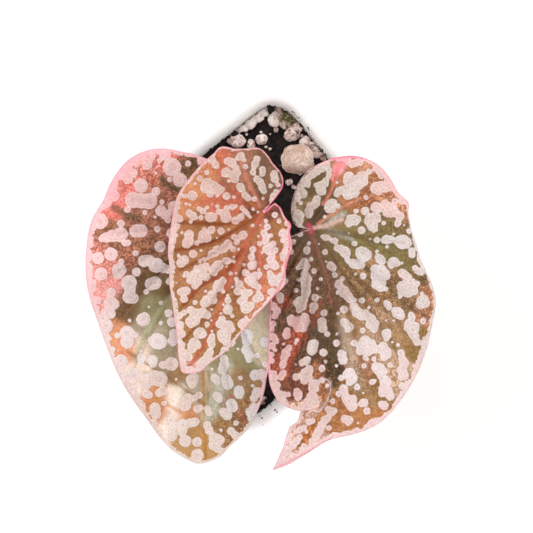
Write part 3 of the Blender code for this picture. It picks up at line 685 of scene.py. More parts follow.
MIDDLE_BLADE = {
    "name": "leaf_middle",
    "hub": (2.4, 15.9, 158.0),
    "stalk": [(2.0, 7.4, 131.0), (2.4, 10.0, 139.0), (2.9, 13.4, 147.0)],
    "lean": (0.10, 0.08), "fold": 0.14, "arch": 0.0018,
    "outlines": [[
        (50, 4), (51, 8), (57, 11), (67, 13.3), (81, 15.7), (91, 19.5), (97, 20.7), (105, 21),
        (115, 22.3), (124, 25.4), (132, 25.1), (143, 25.6), (155, 26.8), (168, 28.6), (181, 30.0),
        (192, 31.7), (202, 34.2), (210, 36.2), (217, 39.5), (223, 42.2), (229, 46), (235, 51),
        (240, 57.6), (242.5, 60.4), (245.5, 59.3), (247.8, 57.6), (250, 53.4), (254, 48.5),
        (259, 40.6), (264, 35), (270, 31), (277, 27.5), (286, 24.4), (290, 20), (297, 17), (306, 15),
        (319, 10.8), (331, 9.6), (339, 7.5), (352, 6), (374, 5), (400, 4),
    ]],
    "veins": [
        (87, 90), (114, 118), (133, 136), (154, 150), (173, 164), (187, 210), (203, 222), (214, 229),
        (229, 235), (243, 238), (255, 246), (267, 256), (290, 285), (330, 325),
    ],
}
RIGHT_BLADE = {
    "name": "leaf_right",
    "hub": (17.0, 10.3, 150.0),
    "stalk": [(1.5, 5.1, 113.0), (8.2, 5.9, 122.0), (14.7, 7.9, 135.0)],
    "lean": (-0.02, 0.10), "fold": 0.18, "arch": 0.0012,
    "outlines": [
        [
            (172, 4), (157, 5.8), (140, 7.7), (127, 9.9), (117, 11.9), (105, 15), (92, 19), (80, 22.2),
            (69, 25.3), (57, 28.8), (45, 30.8), (33, 31.5), (22, 31.9), (15, 33.8), (9, 33.0), (-1, 33.9),
            (-10, 36.6), (-15.5, 38.6), (-21.3, 42.7), (-26.5, 46.9), (-30, 49.3), (-36, 52.0),
            (-46, 57.6), (-57, 64.0), (-66, 69.4), (-71, 71.6), (-76, 72.3), (-84, 73.0), (-90, 77.5),
            (-95, 82.4), (-98, 84.8),
        ],
        [
            (-86.8, 62.2), (-90, 61.4), (-93, 61.6), (-99, 59.7), (-104, 53.8), (-107, 46), (-111, 37),
            (-118, 27.5), (-132, 19), (-145, 13), (-158, 9),
        ],
    ],
    "tear": {
        "inner": (-84.5, 50.3),
        "under": [(-91.5, 60.0), (-92.9, 66.1), (-95.1, 68.3), (-95.8, 72.0), (-96.3, 76.0), (-98, 84.8)],
        "over": [(-82.6, 51.0), (-81.4, 52.6), (-81.8, 55.2), (-83.4, 58.4), (-85.4, 61.2), (-86.8, 62.2)],
        "lift": 3.2,
    },
    "veins": [
        (140, 146), (104, 108), (70, 76), (46, 55), (22, 38), (6, 14), (-10, -6), (-24, -22), (-36, -34),
        (-47, -44), (-57, -52), (-71, -60), (-84, -62), (-96, -66), (-99.5, -78), (-105, -88), (-112, -98),
        (-124, -110), (-142, -132),
    ],
}


def smooth_line(points, steps):
    """Points on a smooth curve through the given ones, ends included."""
    ends = [points[0] * 2 - points[1]] + points + [points[-1] * 2 - points[-2]]
    line = []
    for before, start, stop, after in zip(ends, ends[1:], ends[2:], ends[3:]):
        for s in (step / steps for step in range(steps)):
            line.append(
                0.5 * (2 * start + (stop - before) * s + (2 * before - 5 * start + 4 * stop - after) * s * s
                       + (3 * start - before - 3 * stop + after) * s ** 3))
    return line + [points[-1]]


def stalk_route(blade):
    """The points that a stalk passes through, from the cane to the underside of its blade."""
    hub = Vector(blade["hub"])
    up = Vector((-blade["lean"][0], -blade["lean"][1], 1.0)).normalized()
    return [Vector(point) for point in blade["stalk"]] + [
        hub - up * STALK_RISE, hub - up * (BLADE_THICKNESS + 0.1)]


def add_stem(shape, points, radii, sides=20):
    """Adds a round, faintly ribbed stem along a line to a shape, closed at both ends."""
    loops = []
    side_way = Vector((1.0, 0.0, 0.0))
    for index, point in enumerate(points):
        way = (points[min(index + 1, len(points) - 1)] - points[max(index - 1, 0)]).normalized()
        side_way = (side_way - way * side_way.dot(way)).normalized()
        other = way.cross(side_way)
        loop = []
        for step in range(sides):
            angle = math.tau * step / sides
            around = side_way * math.cos(angle) + other * math.sin(angle)
            rib = 1.0 + 0.035 * noise.noise(Vector((step * 0.8, point.z * 0.45, radii[index])))
            loop.append(shape.verts.new((point + around * radii[index] * rib) * MM))
        loops.append(loop)
    skinned(shape, loops)


def add_hair(shape, root, way, length):
    """Adds one tapering three-sided hair."""
    side = way.orthogonal().normalized() * HAIR_WIDTH
    turns = [Matrix.Rotation(math.tau * step / 3, 3, way) for step in range(3)]
    base = [shape.verts.new((root + turn @ side) * MM) for turn in turns]
    tip = shape.verts.new((root + way * length) * MM)
    for step in range(3):
        shape.faces.new((base[step], base[(step + 1) % 3], tip))


def run_along(points):
    """The share of a line's length that lies before each of its points."""
    run = np.cumsum([0.0] + [(b - a).length for a, b in zip(points, points[1:])])
    return run / run[-1]


def make_cane():
    """The meshes of the cane with its stalks and of the hairs on them."""
    draw = random.Random(3)
    stems, hairs = bmesh.new(), bmesh.new()
    rows = [Vector(row[:3]) for row in CANE_LINE]
    fine = smooth_line(rows, 6)
    lines = [(fine, np.interp(run_along(fine), run_along(rows), [row[3] for row in CANE_LINE]))]
    for blade in (LEFT_BLADE, MIDDLE_BLADE, RIGHT_BLADE):
        line = smooth_line(stalk_route(blade), 10)
        step = np.arange(len(line))
        lines.append((line, STALK_RADIUS - (STALK_RADIUS - STALK_TOP_RADIUS) * step / step[-1]
                      + STALK_SWELL * np.exp(-step / 3.0)))
    for line, radii in lines:
        add_stem(stems, line, radii)
        for _ in range(HAIRS_PER_POINT * len(line)):
            index = draw.randrange(1, len(line) - 1)
            if line[index].z < HAIR_LOWEST:
                continue
            way = (line[index + 1] - line[index - 1]).normalized()
            out = Matrix.Rotation(draw.uniform(0.0, math.tau), 3, way) @ way.orthogonal().normalized()
            root = line[index].lerp(line[index + 1], draw.random()) + out * radii[index] * 0.97
            add_hair(hairs, root, (out + 0.3 * way).normalized(), draw.uniform(0.5, 1.2))
    for shape in (stems, hairs):
        shape.transform(Matrix.Rotation(PLANT_TURN, 4, "Z"))
    return mesh_from(stems, "cane_and_stalks"), mesh_from(hairs, "stalk_hairs")


def stem_material():
    """Fleshy living stem with a soft shine: green under red, long streaks and pale lenticels."""
    material, tree, place, redder = new_surface("fleshy reddish stem", ((9, 2, 0.55, 0),), Roughness=0.42)
    drawn_out = add_node(tree, "Mapping", {"Vector": place, "Scale": (1.0, 1.0, 0.25)})
    streak = add_node(
        tree, "TexNoise", {"Vector": drawn_out, "Scale": 1 / 1.4, "Detail": 4, "Roughness": 0.55})
    dots = add_node(tree, "TexVoronoi", {"Vector": drawn_out, "Scale": 1 / 1.25})
    skin = lay(tree, "#7d4a35", "#9a7a4a", 1.0, (streak, 0.36, 0.64))
    skin = lay(tree, skin, "#8f3f36", 1.0, (redder, 0.45, 0.65))
    skin = lay(tree, skin, "#d9b9a0", 0.8, (dots, 0.22, 0.10))
    return finish_surface(material, skin, streak, 0.12)


def hair_material():
    """Plant hairs: clear to pinkish white, so the stems look faintly downy."""
    material, tree, _, cloud = new_surface("soft pinkish hairs", ((5, 3, 0.55, 0),))
    return finish_surface(material, lay(tree, "#e9c7bd", "#d79a90", 1.0, (cloud, 0.4, 0.6)))


cane_mesh, hair_mesh = make_cane()
cane = add_piece(cane_mesh, stem_material())
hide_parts("cane")
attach(cane, "root")
stalk_hairs = add_piece(hair_mesh, hair_material())
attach(stalk_hairs, "root")

# Leaf blades
# Thin, soft heart-shaped blades, puffed up between sunken veins and waved at the margin. The skin is olive,
# brown or rose with silvery spots; a pale pink band runs round the margin. The underside is deep red.

NET_SPACING = 0.42
MARGIN_THICKNESS = 0.35
INNER_THICKNESS = 0.75
VEIN_RIB = 0.35
QUILT = 1.5
RIPPLE = 0.9
RIPPLE_TURNS = 11
RELIEF_REACH = 30.0
DOME_SOFTNESS = 8.0
BLADE_ROWS = 9
TEAR_ROW = 6
TEAR_REACH = 17.0
SPOT_PUFF = 0.12
CRINKLE = 0.10
BAND_SOFTNESS = 0.5
HEART_LEAST = 2.2
HIDDEN_TRIES = 2600
SHARE_REACH = 22.0
# The light on the leaves is allowed for by dividing the skin's and the spots' seen colours by these.
GROUND_LIGHT = 0.97
SPOT_LIGHT = np.array((1.29, 1.35, 1.35))
BRIGHTEST = 0.97
RICHNESS = 0.08
LUMINANCE = np.array((0.27, 0.63, 0.10))


def value_at(table, bearing):
    """Smooth value at a bearing from (bearing, value) pairs in either order of bearing."""
    way = 1.0 if table[-1][0] > table[0][0] else -1.0
    spots = [(way * place, value) for place, value in table]
    place = min(max(way * bearing, spots[0][0]), spots[-1][0])
    index = next(i for i in range(len(spots) - 1) if place <= spots[i + 1][0] + 1e-9)
    (start, low), (stop, high) = spots[index], spots[index + 1]
    slopes = []
    for middle in (index, index + 1):
        first, last = spots[max(middle - 1, 0)], spots[min(middle + 1, len(spots) - 1)]
        slopes.append((last[1] - first[1]) / (last[0] - first[0]) * (stop - start))
    s = (place - start) / (stop - start)
    return (low * (2 * s ** 3 - 3 * s * s + 1) + high * (3 * s * s - 2 * s ** 3)
            + slopes[0] * (s ** 3 - 2 * s * s + s) + slopes[1] * (s ** 3 - s * s))


def leaving_at(veins, bearing):
    """The bearing at the hub of the line that reaches the margin at a bearing."""
    way = 1.0 if veins[-1][0] > veins[0][0] else -1.0
    ends, leaves = (np.array(part, dtype=float) for part in zip(*veins))
    place = np.asarray(bearing, dtype=float)
    inner = np.interp(way * place, way * ends, leaves)
    inner = np.where(way * place < way * ends[0], place + leaves[0] - ends[0], inner)
    return np.where(way * place > way * ends[-1], place + leaves[-1] - ends[-1], inner)


def polar(bearing, reach):
    return np.array((math.cos(math.radians(bearing)), math.sin(math.radians(bearing)))) * reach


def smooth(value, low, high):
    share = np.clip((value - low) / (high - low), 0.0, 1.0)
    return share * share * (3.0 - 2.0 * share)


def outline_points(outline):
    """The margin as plan points, close enough together to follow every wave."""
    first, last = outline[0][0], outline[-1][0]
    bearings = np.linspace(first, last, int(abs(last - first) * 3))
    return [tuple(polar(bearing, value_at(outline, bearing))) for bearing in bearings]


def seam_points(blade):
    """The line that both sides of a torn blade share, from the hub to the tear's inner end."""
    inner = polar(*blade["tear"]["inner"])
    leave = polar(float(leaving_at(blade["veins"], blade["tear"]["inner"][0])), 0.5 * np.hypot(*inner))
    return [tuple(leave * 2 * s * (1 - s) + inner * s * s) for s in np.linspace(0.0, 1.0, 60)]


def sheet_outlines(blade):
    """The closed plan outline of each sheet of a blade, the seam first where two sheets share one."""
    if "tear" not in blade:
        return [[(0.0, 0.0)] + outline_points(blade["outlines"][0])]
    seam = [tuple(point) for point in spaced(seam_points(blade), NET_SPACING)]
    under, over = ([tuple(polar(*point)) for point in blade["tear"][side]] for side in ("under", "over"))
    return [seam + under + outline_points(blade["outlines"][0])[::-1][1:],
            seam + over + outline_points(blade["outlines"][1])[1:]]


def plain_height(blade, flat):
    """The blade's broad form over plan points: leaning, folded along its midrib and arched down."""
    crest = np.hypot(flat[:, 1], DOME_SOFTNESS) - DOME_SOFTNESS
    return flat @ blade["lean"] - blade["fold"] * crest - blade["arch"] * (flat ** 2).sum(axis=1)


def blade_lines(flat, outline, veins):
    """For plan points: the bearing of their line, the share of the way to the margin, place between veins."""
    way = 1.0 if outline[-1][0] > outline[0][0] else -1.0
    table = np.linspace(outline[0][0], outline[-1][0], 1500)
    reaches = np.array([value_at(outline, bearing) for bearing in table])
    middle = 0.5 * (table[0] + table[-1])
    radius = np.hypot(flat[:, 0], flat[:, 1])
    angle = np.degrees(np.arctan2(flat[:, 1], flat[:, 0]))
    angle = middle + (angle - middle + 180.0) % 360.0 - 180.0
    bearing = angle.copy()
    for _ in range(40):
        share = np.clip(radius / np.interp(way * bearing, way * table, reaches), 0.0, 1.0)
        bearing = 0.6 * bearing + 0.4 * (angle - (leaving_at(veins, bearing) - bearing) * (1.0 - share))
    first, last = way * outline[0][0], way * outline[-1][0]
    stops = np.array([first] + [way * end for end, _ in veins if first + 2 < way * end < last - 2] + [last])
    index = np.clip(np.searchsorted(stops, way * bearing) - 1, 0, len(stops) - 2)
    between = np.clip((way * bearing - stops[index]) / (stops[index + 1] - stops[index]), 0.0, 1.0)
    return bearing, share, between


def vein_samples(outline, veins):
    """Points along every vein of a sheet with the half width of the vein there."""
    samples = []
    first, last = sorted((outline[0][0], outline[-1][0]))
    for end, leave in veins:
        if first <= end <= last:
            reach = value_at(outline, end)
            for share in np.arange(0.0, 0.97, 0.2 / reach):
                x, y = polar(end + (leave - end) * (1.0 - share), reach * share)
                samples.append((x, y, (0.30 + 0.006 * reach) * (1.0 - 0.85 * share)))
    return np.array(samples)


def sheet_net(blade, number):
    """One sheet of a blade: triangles, plan points, heights and the measures that its surface needs."""
    outline = blade["outlines"][number]
    margin = sheet_outlines(blade)[number]
    off_seam, lift = 99.0, 0.0
    if "tear" not in blade:
        ring = margin = spaced(margin, NET_SPACING, True)
    else:
        seam = spaced(seam_points(blade), NET_SPACING)
        margin = spaced(margin[len(seam) - 1:] + [(0.0, 0.0)], NET_SPACING)
        ring = np.vstack([seam, margin[1:-1]])
    flat, net = triangles_in(ring, NET_SPACING)
    to_margin, _ = nearest(spaced(margin, 0.12), flat)
    bearing, share, between = blade_lines(flat, outline, blade["veins"])
    samples = vein_samples(outline, blade["veins"])
    to_vein, which = nearest(samples[:, :2], flat)
    to_vein -= samples[which, 2]
    if "tear" in blade:
        off_seam, _ = nearest(spaced(seam_points(blade), 0.3), flat)
        edge = [blade["tear"]["inner"]] + blade["tear"][("under", "over")[number]]
        off_edge, _ = nearest(spaced([polar(*point) for point in edge], 0.3), flat)
        row = BLADE_ROWS * share ** (1.0 / 0.9)
        rise = smooth(row, TEAR_ROW + 0.2, BLADE_ROWS) * (1.0 - smooth(off_edge, 0.0, TEAR_REACH))
        lift = blade["tear"]["lift"] * (-0.25, 1.0)[number] * rise * smooth(off_seam, 0.0, 4.0)
    grown = np.minimum(1.0, np.hypot(*flat.T) / RELIEF_REACH) * smooth(off_seam, 0.0, 5.0)
    height = plain_height(blade, flat) + lift
    height += QUILT * grown * np.sin(math.pi * between) * np.sin(math.pi * share)
    height += RIPPLE * grown * share ** 3 * np.sin(np.radians(bearing) * RIPPLE_TURNS)
    return net, flat, height, to_margin, to_vein, share


def welded(flat, height, net):
    """Joins points of two sheets that coincide."""
    seen, target, keep = {}, [], []
    for index, (x, y) in enumerate(flat):
        key = (round(x * 2000), round(y * 2000), round(height[index] * 200))
        if key not in seen:
            seen[key] = len(keep)
            keep.append(index)
        target.append(seen[key])
    net = np.array(target)[net]
    whole = (net[:, 0] != net[:, 1]) & (net[:, 1] != net[:, 2]) & (net[:, 0] != net[:, 2])
    return net[whole], np.array(keep)


def joined_sheets(blade):
    """A blade's sheets as one net: triangles, then what sheet_net gives for every point."""
    nets, *measures = zip(*(sheet_net(blade, number) for number in range(len(blade["outlines"]))))
    starts = np.cumsum([0] + [len(flat) for flat in measures[0]])
    net = np.vstack([part + start for part, start in zip(nets, starts)])
    measures = [np.concatenate(values) for values in measures]
    if len(nets) > 1:
        net, keep = welded(measures[0], measures[1], net)
        measures = [values[keep] for values in measures]
    return net, *measures


def photo_places(points):
    """The photograph pixel that shows each (across, along, height) point, and the pixels per mm there."""
    scale = FOCAL_PIXELS / (CAMERA_PLACE[2] - points[:, 2])
    return np.column_stack([
        IMAGE_SIDE / 2 + (points[:, 0] - CAMERA_PLACE[0]) * scale,
        IMAGE_SIDE / 2 - (points[:, 1] - CAMERA_PLACE[1]) * scale,
    ]), scale


def run_together(first, second, softness):
    """The lesser of two distances, smooth where they are nearly the same."""
    mixed = np.clip(0.5 + 0.5 * (first - second) / softness, 0.0, 1.0)
    return first * (1.0 - mixed) + second * mixed - softness * mixed * (1.0 - mixed)


def joined_discs(places, discs, softness):
    """Signed distance in pixels to discs that run softly together; negative inside."""
    field = np.full(len(places), 99.0)
    for x, y, radius in discs:
        field = run_together(field, np.hypot(places[:, 0] - x, places[:, 1] - y) - radius, softness)
    return field


def bell(away, reach):
    """A weight that falls softly over a reach; never quite nothing, so that every place gets a value."""
    return np.exp(-away / (reach * reach)) + 1e-7


def gathered(places, rows, weigh=bell):
    """For each place the mean of the rows' values, weighted by its squared distance from their spots."""
    total, mixed = np.full((len(places), 1), 1e-9), 0.0
    for value, reach, *spots in rows:
        value = np.array(linear(value)[:3]) if isinstance(value, str) else value
        for spot in spots:
            weight = weigh(((places - spot) ** 2).sum(axis=1), reach)[:, None]
            total += weight
            mixed = mixed + weight * value
    return mixed / total


def away_from_line(places, points):
    """Distance in pixels from each place to a line through the given points."""
    least = np.full(len(places), 1e9)
    for start, stop in zip(points, points[1:]):
        start, run = np.array(start, dtype=float), np.subtract(stop, start)
        share = np.clip((places - start) @ run / (run @ run), 0.0, 1.0)
        least = np.minimum(least, np.hypot(*(places - start - share[:, None] * run).T))
    return least


def stroked(places, colour, strokes, over_spots):
    """The colour with the strokes drawn on it, each with soft sides."""
    for shade, half_width, softness, strength, crosses, *points in strokes:
        if crosses or not over_spots:
            line = [tuple(point) for point in smooth_line([Vector(point) for point in points], 4)]
            away = away_from_line(places, line)
            share = 1.0 - smooth(away, half_width - 0.5 * softness, half_width + softness)[:, None]
            colour = colour + strength * share * (np.array(linear(shade)[:3]) - colour)
    return colour


def all_spots(blade, covers):
    """A blade's spots, with more by a seeded rule where other blades cover it in the photograph."""
    draw = random.Random(blade["seed"])
    discs = list(blade["spots"])
    if covers:
        low, high = np.vstack(covers).min(axis=0), np.vstack(covers).max(axis=0)
        for _ in range(HIDDEN_TRIES):
            x, y = draw.uniform(low[0], high[0]), draw.uniform(low[1], high[1])
            radius = 1.4 + 4.8 * draw.random() ** 1.6
            hidden = any(inside_outline(np.array([(x, y)]), cover)[0] for cover in covers)
            if hidden and all(math.hypot(x - a, y - b) > radius + r + 1.6 for a, b, r in discs):
                discs.append((x, y, radius))
    return discs


def noise_over(flat, scale, layer):
    """Smooth noise between -1 and 1 at plan points; each layer is another pattern."""
    return np.array([noise.noise(Vector((x * scale, y * scale, layer))) for x, y in flat])


def finish_blade(blade, covers):
    """Adds a blade's fine relief, gives it thickness and writes its surface measures."""
    net, flat, height, to_margin, to_vein, share = joined_sheets(blade)
    places, scale = photo_places(np.column_stack([flat, height]) + np.array(blade["hub"]))
    discs = all_spots(blade, covers)
    spots = joined_discs(places, discs, 1.5) / scale
    band = gathered(places, [(width, 60.0, (x, y)) for x, y, width in blade["band"]],
                    lambda away, reach: (1.0 + away / reach) ** -2.0)[:, 0]
    wander, ragged = noise_over(flat, 0.45, 7.0), noise_over(flat, 1.3, 2.0)
    spots = run_together(spots, to_margin - band * (0.95 + 0.7 * wander + 0.5 * ragged), BAND_SOFTNESS)
    dots = np.full(len(flat), 9.0)
    for number, (x, y, radius) in enumerate(discs):
        bigger = any(math.hypot(x - a, y - b) < radius + r and (r, -other) > (radius, -number)
                     for other, (a, b, r) in enumerate(discs))
        if radius > HEART_LEAST and not bigger:
            dots = np.minimum(dots, np.hypot(places[:, 0] - x, places[:, 1] - y) / scale)
    blush, fleck, shaded = (
        gathered(places, [(value, SHARE_REACH, *points) for value, *points in blade[key]])
        for key in ("blush", "flecks", "shaded"))
    ground = stroked(places, gathered(places, blade["washes"]), blade["strokes"], False) / GROUND_LIGHT
    # Painted light: the skin is painted lighter where a blade above shades it.
    ground *= 1.0 + 0.45 * shaded
    ground += RICHNESS * (ground - (ground @ LUMINANCE)[:, None])
    tint = stroked(places, gathered(places, blade["tints"]), blade["strokes"], True) / SPOT_LIGHT
    # Painted light: the spots are painted lighter where a blade above shades them.
    tint = np.minimum(tint * (1.0 + 0.35 * shaded), BRIGHTEST)
    height += SPOT_PUFF * smooth(-spots, -0.2, 0.9)
    height -= blade["vein_depth"] * np.exp(-(np.maximum(to_vein, 0.0) / 0.5) ** 2) * smooth(share, 0.02, 0.15)
    height += CRINKLE * noise_over(flat, 0.9, 3.0)
    height += blade["frill"] * (1.0 - smooth(to_margin, 0.0, 3.5)) * noise_over(flat, 0.33, 11.0)
    return blade_mesh(blade, flat, height, net, {
        "spot": spots, "vein": to_vein, "margin": to_margin, "dot": dots, "blush": blush[:, 0],
        "fleck": fleck[:, 0],
    }, {"ground": ground, "tint": tint})


def blade_mesh(blade, flat, height, net, measures, colours):
    """The blade as a closed mesh with its two faces, surface measures and a plan map for each face."""
    verts = np.column_stack([flat, height])
    a, b, c = (verts[net[:, corner]] for corner in range(3))
    cross = np.cross(b - a, c - a)
    if cross[:, 2].sum() < 0.0:
        net, cross = net[:, ::-1], -cross
    normals = np.zeros_like(verts)
    for corner in range(3):
        np.add.at(normals, net[:, corner], cross)
    normals /= np.maximum(np.linalg.norm(normals, axis=1), 1e-9)[:, None]
    to_margin = measures["margin"]
    thickness = MARGIN_THICKNESS + (INNER_THICKNESS - MARGIN_THICKNESS) * smooth(to_margin, 0.0, 3.0)
    rib = VEIN_RIB * np.exp(-(np.maximum(measures["vein"], 0.0) / 0.45) ** 2) * smooth(to_margin, 0.0, 4.0)
    under = verts - normals * (thickness + rib)[:, None]
    count = len(verts)
    rim = []
    for start, stop in open_edges(net):
        rim += [(start, start + count, stop + count), (start, stop + count, stop)]
    turn = np.array(Matrix.Rotation(PLANT_TURN, 3, "Z"))
    whole = (np.vstack([verts, under]) + np.array(blade["hub"])) @ turn.T * MM
    mesh = triangle_mesh(blade["name"] + "_blade", whole, np.vstack([net, net[:, ::-1] + count, rim]))
    for name, values in measures.items():
        layer = mesh.attributes.new(name, "FLOAT", "POINT")
        layer.data.foreach_set("value", np.tile(values, 2).astype(np.float32))
    for name, values in colours.items():
        layer = mesh.attributes.new(name, "FLOAT_COLOR", "POINT")
        full = np.column_stack([values, np.ones(len(values))])
        layer.data.foreach_set("color", np.tile(full, (2, 1)).astype(np.float32).ravel())
    side = np.zeros(len(mesh.polygons), dtype=np.int32)
    side[len(net):2 * len(net)] = 1
    mesh.polygons.foreach_set("material_index", side)
    # The plan map: the upper face on the left half, the lower face on the right half.
    corners = np.zeros(len(mesh.loops), dtype=np.int32)
    mesh.loops.foreach_get("vertex_index", corners)
    unit = (flat - flat.min(axis=0)) / (max(np.ptp(flat[:, 0]), np.ptp(flat[:, 1])) * 1.05)
    uv = unit[corners % count] * np.array((0.48, 0.96)) + 0.01
    uv[:, 0] += 0.5 * np.repeat(side == 1, 3)
    mesh.uv_layers.new(name="OFBake").data.foreach_set("uv", uv.astype(np.float32).ravel())
    return mesh


def cover_outline(blade):
    """A blade's whole outline as it shows in the photograph."""
    rings = [np.array(ring)[::4] for ring in sheet_outlines(blade)]
    return [photo_places(np.column_stack([flat, plain_height(blade, flat)]) + np.array(blade["hub"]))[0]
            for flat in rings]


def blade_top(name, vein_colour, vein_strength, pink_width, pink_share, line_colour):
    """Living leaf skin with a satin shine: it shows a mottled ground between silvery spots that have duller
    rings and hearts, darker veins, pink near the margin and a hairline of red on its very edge."""
    material, tree, place, speckle, cloud, fine, wave, mottle, pores = new_surface(
        name, ((1.9, 1, 0.5, 1.3), (2.4, 3, 0.6, 0), (0.5, 2, 0.6, 0), (1.2, 3, 0.55, 0), (0.7, 3, 0.75, 0.8),
               (0.45, 3, 0.6, 0)), Specular_IOR_Level=0.3)
    spot, vein, margin, dot, blush, fleck = (
        add_node(tree, "Attribute", output="Fac", attribute_name=key)
        for key in ("spot", "vein", "margin", "dot", "blush", "fleck"))
    ground, tint = (
        add_node(tree, "Attribute", output="Color", attribute_name=key) for key in ("ground", "tint"))
    elsewhere = add_node(tree, "VectorMath", {0: place, 1: (500.0, 300.0, 100.0)}, operation="ADD")
    patches = add_node(tree, "TexNoise", {
        "Vector": elsewhere, "Scale": 1 / 1.4, "Detail": 2, "Roughness": 0.6, "Distortion": 2})
    crease = add_node(tree, "Math", {0: speckle, 1: 0.5}, operation="SUBTRACT")
    crease = add_node(tree, "Math", {0: crease}, operation="ABSOLUTE")
    mottling = add_node(tree, "Math", {0: fleck, 1: 0.7, 2: 0.12}, operation="MULTIPLY_ADD")
    wobble = add_node(tree, "Math", {0: wave, 1: 0.8, 2: -0.4}, operation="MULTIPLY_ADD")
    edge = add_node(tree, "Math", {0: spot, 1: wobble}, operation="ADD")
    rough_margin = add_node(tree, "Math", {0: wobble, 1: 0.6, 2: margin}, operation="MULTIPLY_ADD")

    darker = lay(tree, ground, "#94785a", 1.0, mode="MULTIPLY")
    skin = lay(tree, ground, lay(tree, ground, "#f08060", 0.5), 0.75, fleck, (patches, 0.56, 0.66))
    skin = lay(tree, skin, darker, mottling, (crease, 0.130, 0.035))
    skin = lay(tree, skin, darker, 0.25, (cloud, 0.50, 0.34))
    skin = lay(tree, skin, darker, 0.12, (fine, 0.52, 0.36))
    skin = lay(tree, skin, vein_colour, vein_strength, (vein, 0.30, -0.10))
    skin = lay(tree, skin, darker, 0.25, (edge, 0.45, 0.14), (edge, -0.10, 0.10))

    dull = lay(tree, tint, "#d9c0b9", 1.0, mode="MULTIPLY")
    silver = lay(tree, tint, "#fff3ee", 0.12, (edge, -0.50, -0.15))
    silver = lay(tree, silver, dull, 0.28, (edge, -0.40, -0.58), (edge, -0.92, -0.74))
    silver = lay(tree, silver, dull, 0.30, (edge, -1.20, -1.80))
    silver = lay(tree, silver, "#fff7f2", 0.30, (mottle, 0.50, 0.68))
    silver = lay(tree, silver, dull, 0.40, (mottle, 0.49, 0.34))
    silver = lay(tree, silver, "#a87870", 0.6, (dot, 0.40, 0.12), (cloud, 0.40, 0.48))
    silver = lay(tree, silver, "#ffb2bf", pink_share, blush, (margin, pink_width, 0.2 * pink_width))

    skin = lay(tree, skin, silver, 1.0, (edge, 0.26, -0.26))
    skin = lay(tree, skin, line_colour, 0.7, blush, (rough_margin, 0.45, 0.10))
    satin = add_node(tree, "MapRange", {0: cloud, 1: 0.3, 2: 0.7, 3: 0.4, 4: 0.6},
                     interpolation_type="SMOOTHSTEP")
    return finish_surface(material, skin, pores, 0.06, satin)


def blade_under():
    """The back of the leaf, duller: wine red, pinkish raised veins, paler towards the margin."""
    material, tree, _, cloud, pores = new_surface(
        "wine red leaf back", ((3, 4, 0.55, 0), (0.8, 4, 0.65, 0)), Roughness=0.6, Specular_IOR_Level=0.3)
    vein, margin, spot = (
        add_node(tree, "Attribute", output="Fac", attribute_name=key) for key in ("vein", "margin", "spot"))
    skin = lay(tree, "#6e2b2c", "#8c4038", 1.0, (cloud, 0.38, 0.64))
    skin = lay(tree, skin, "#b06a60", 0.35, (spot, 0.2, -0.4))
    skin = lay(tree, skin, "#d68d88", 0.6, (margin, 2.5, 0.0))
    skin = lay(tree, skin, "#c98a7c", 0.8, (vein, 0.35, 0.0))
    return finish_surface(material, skin, pores, 0.12)


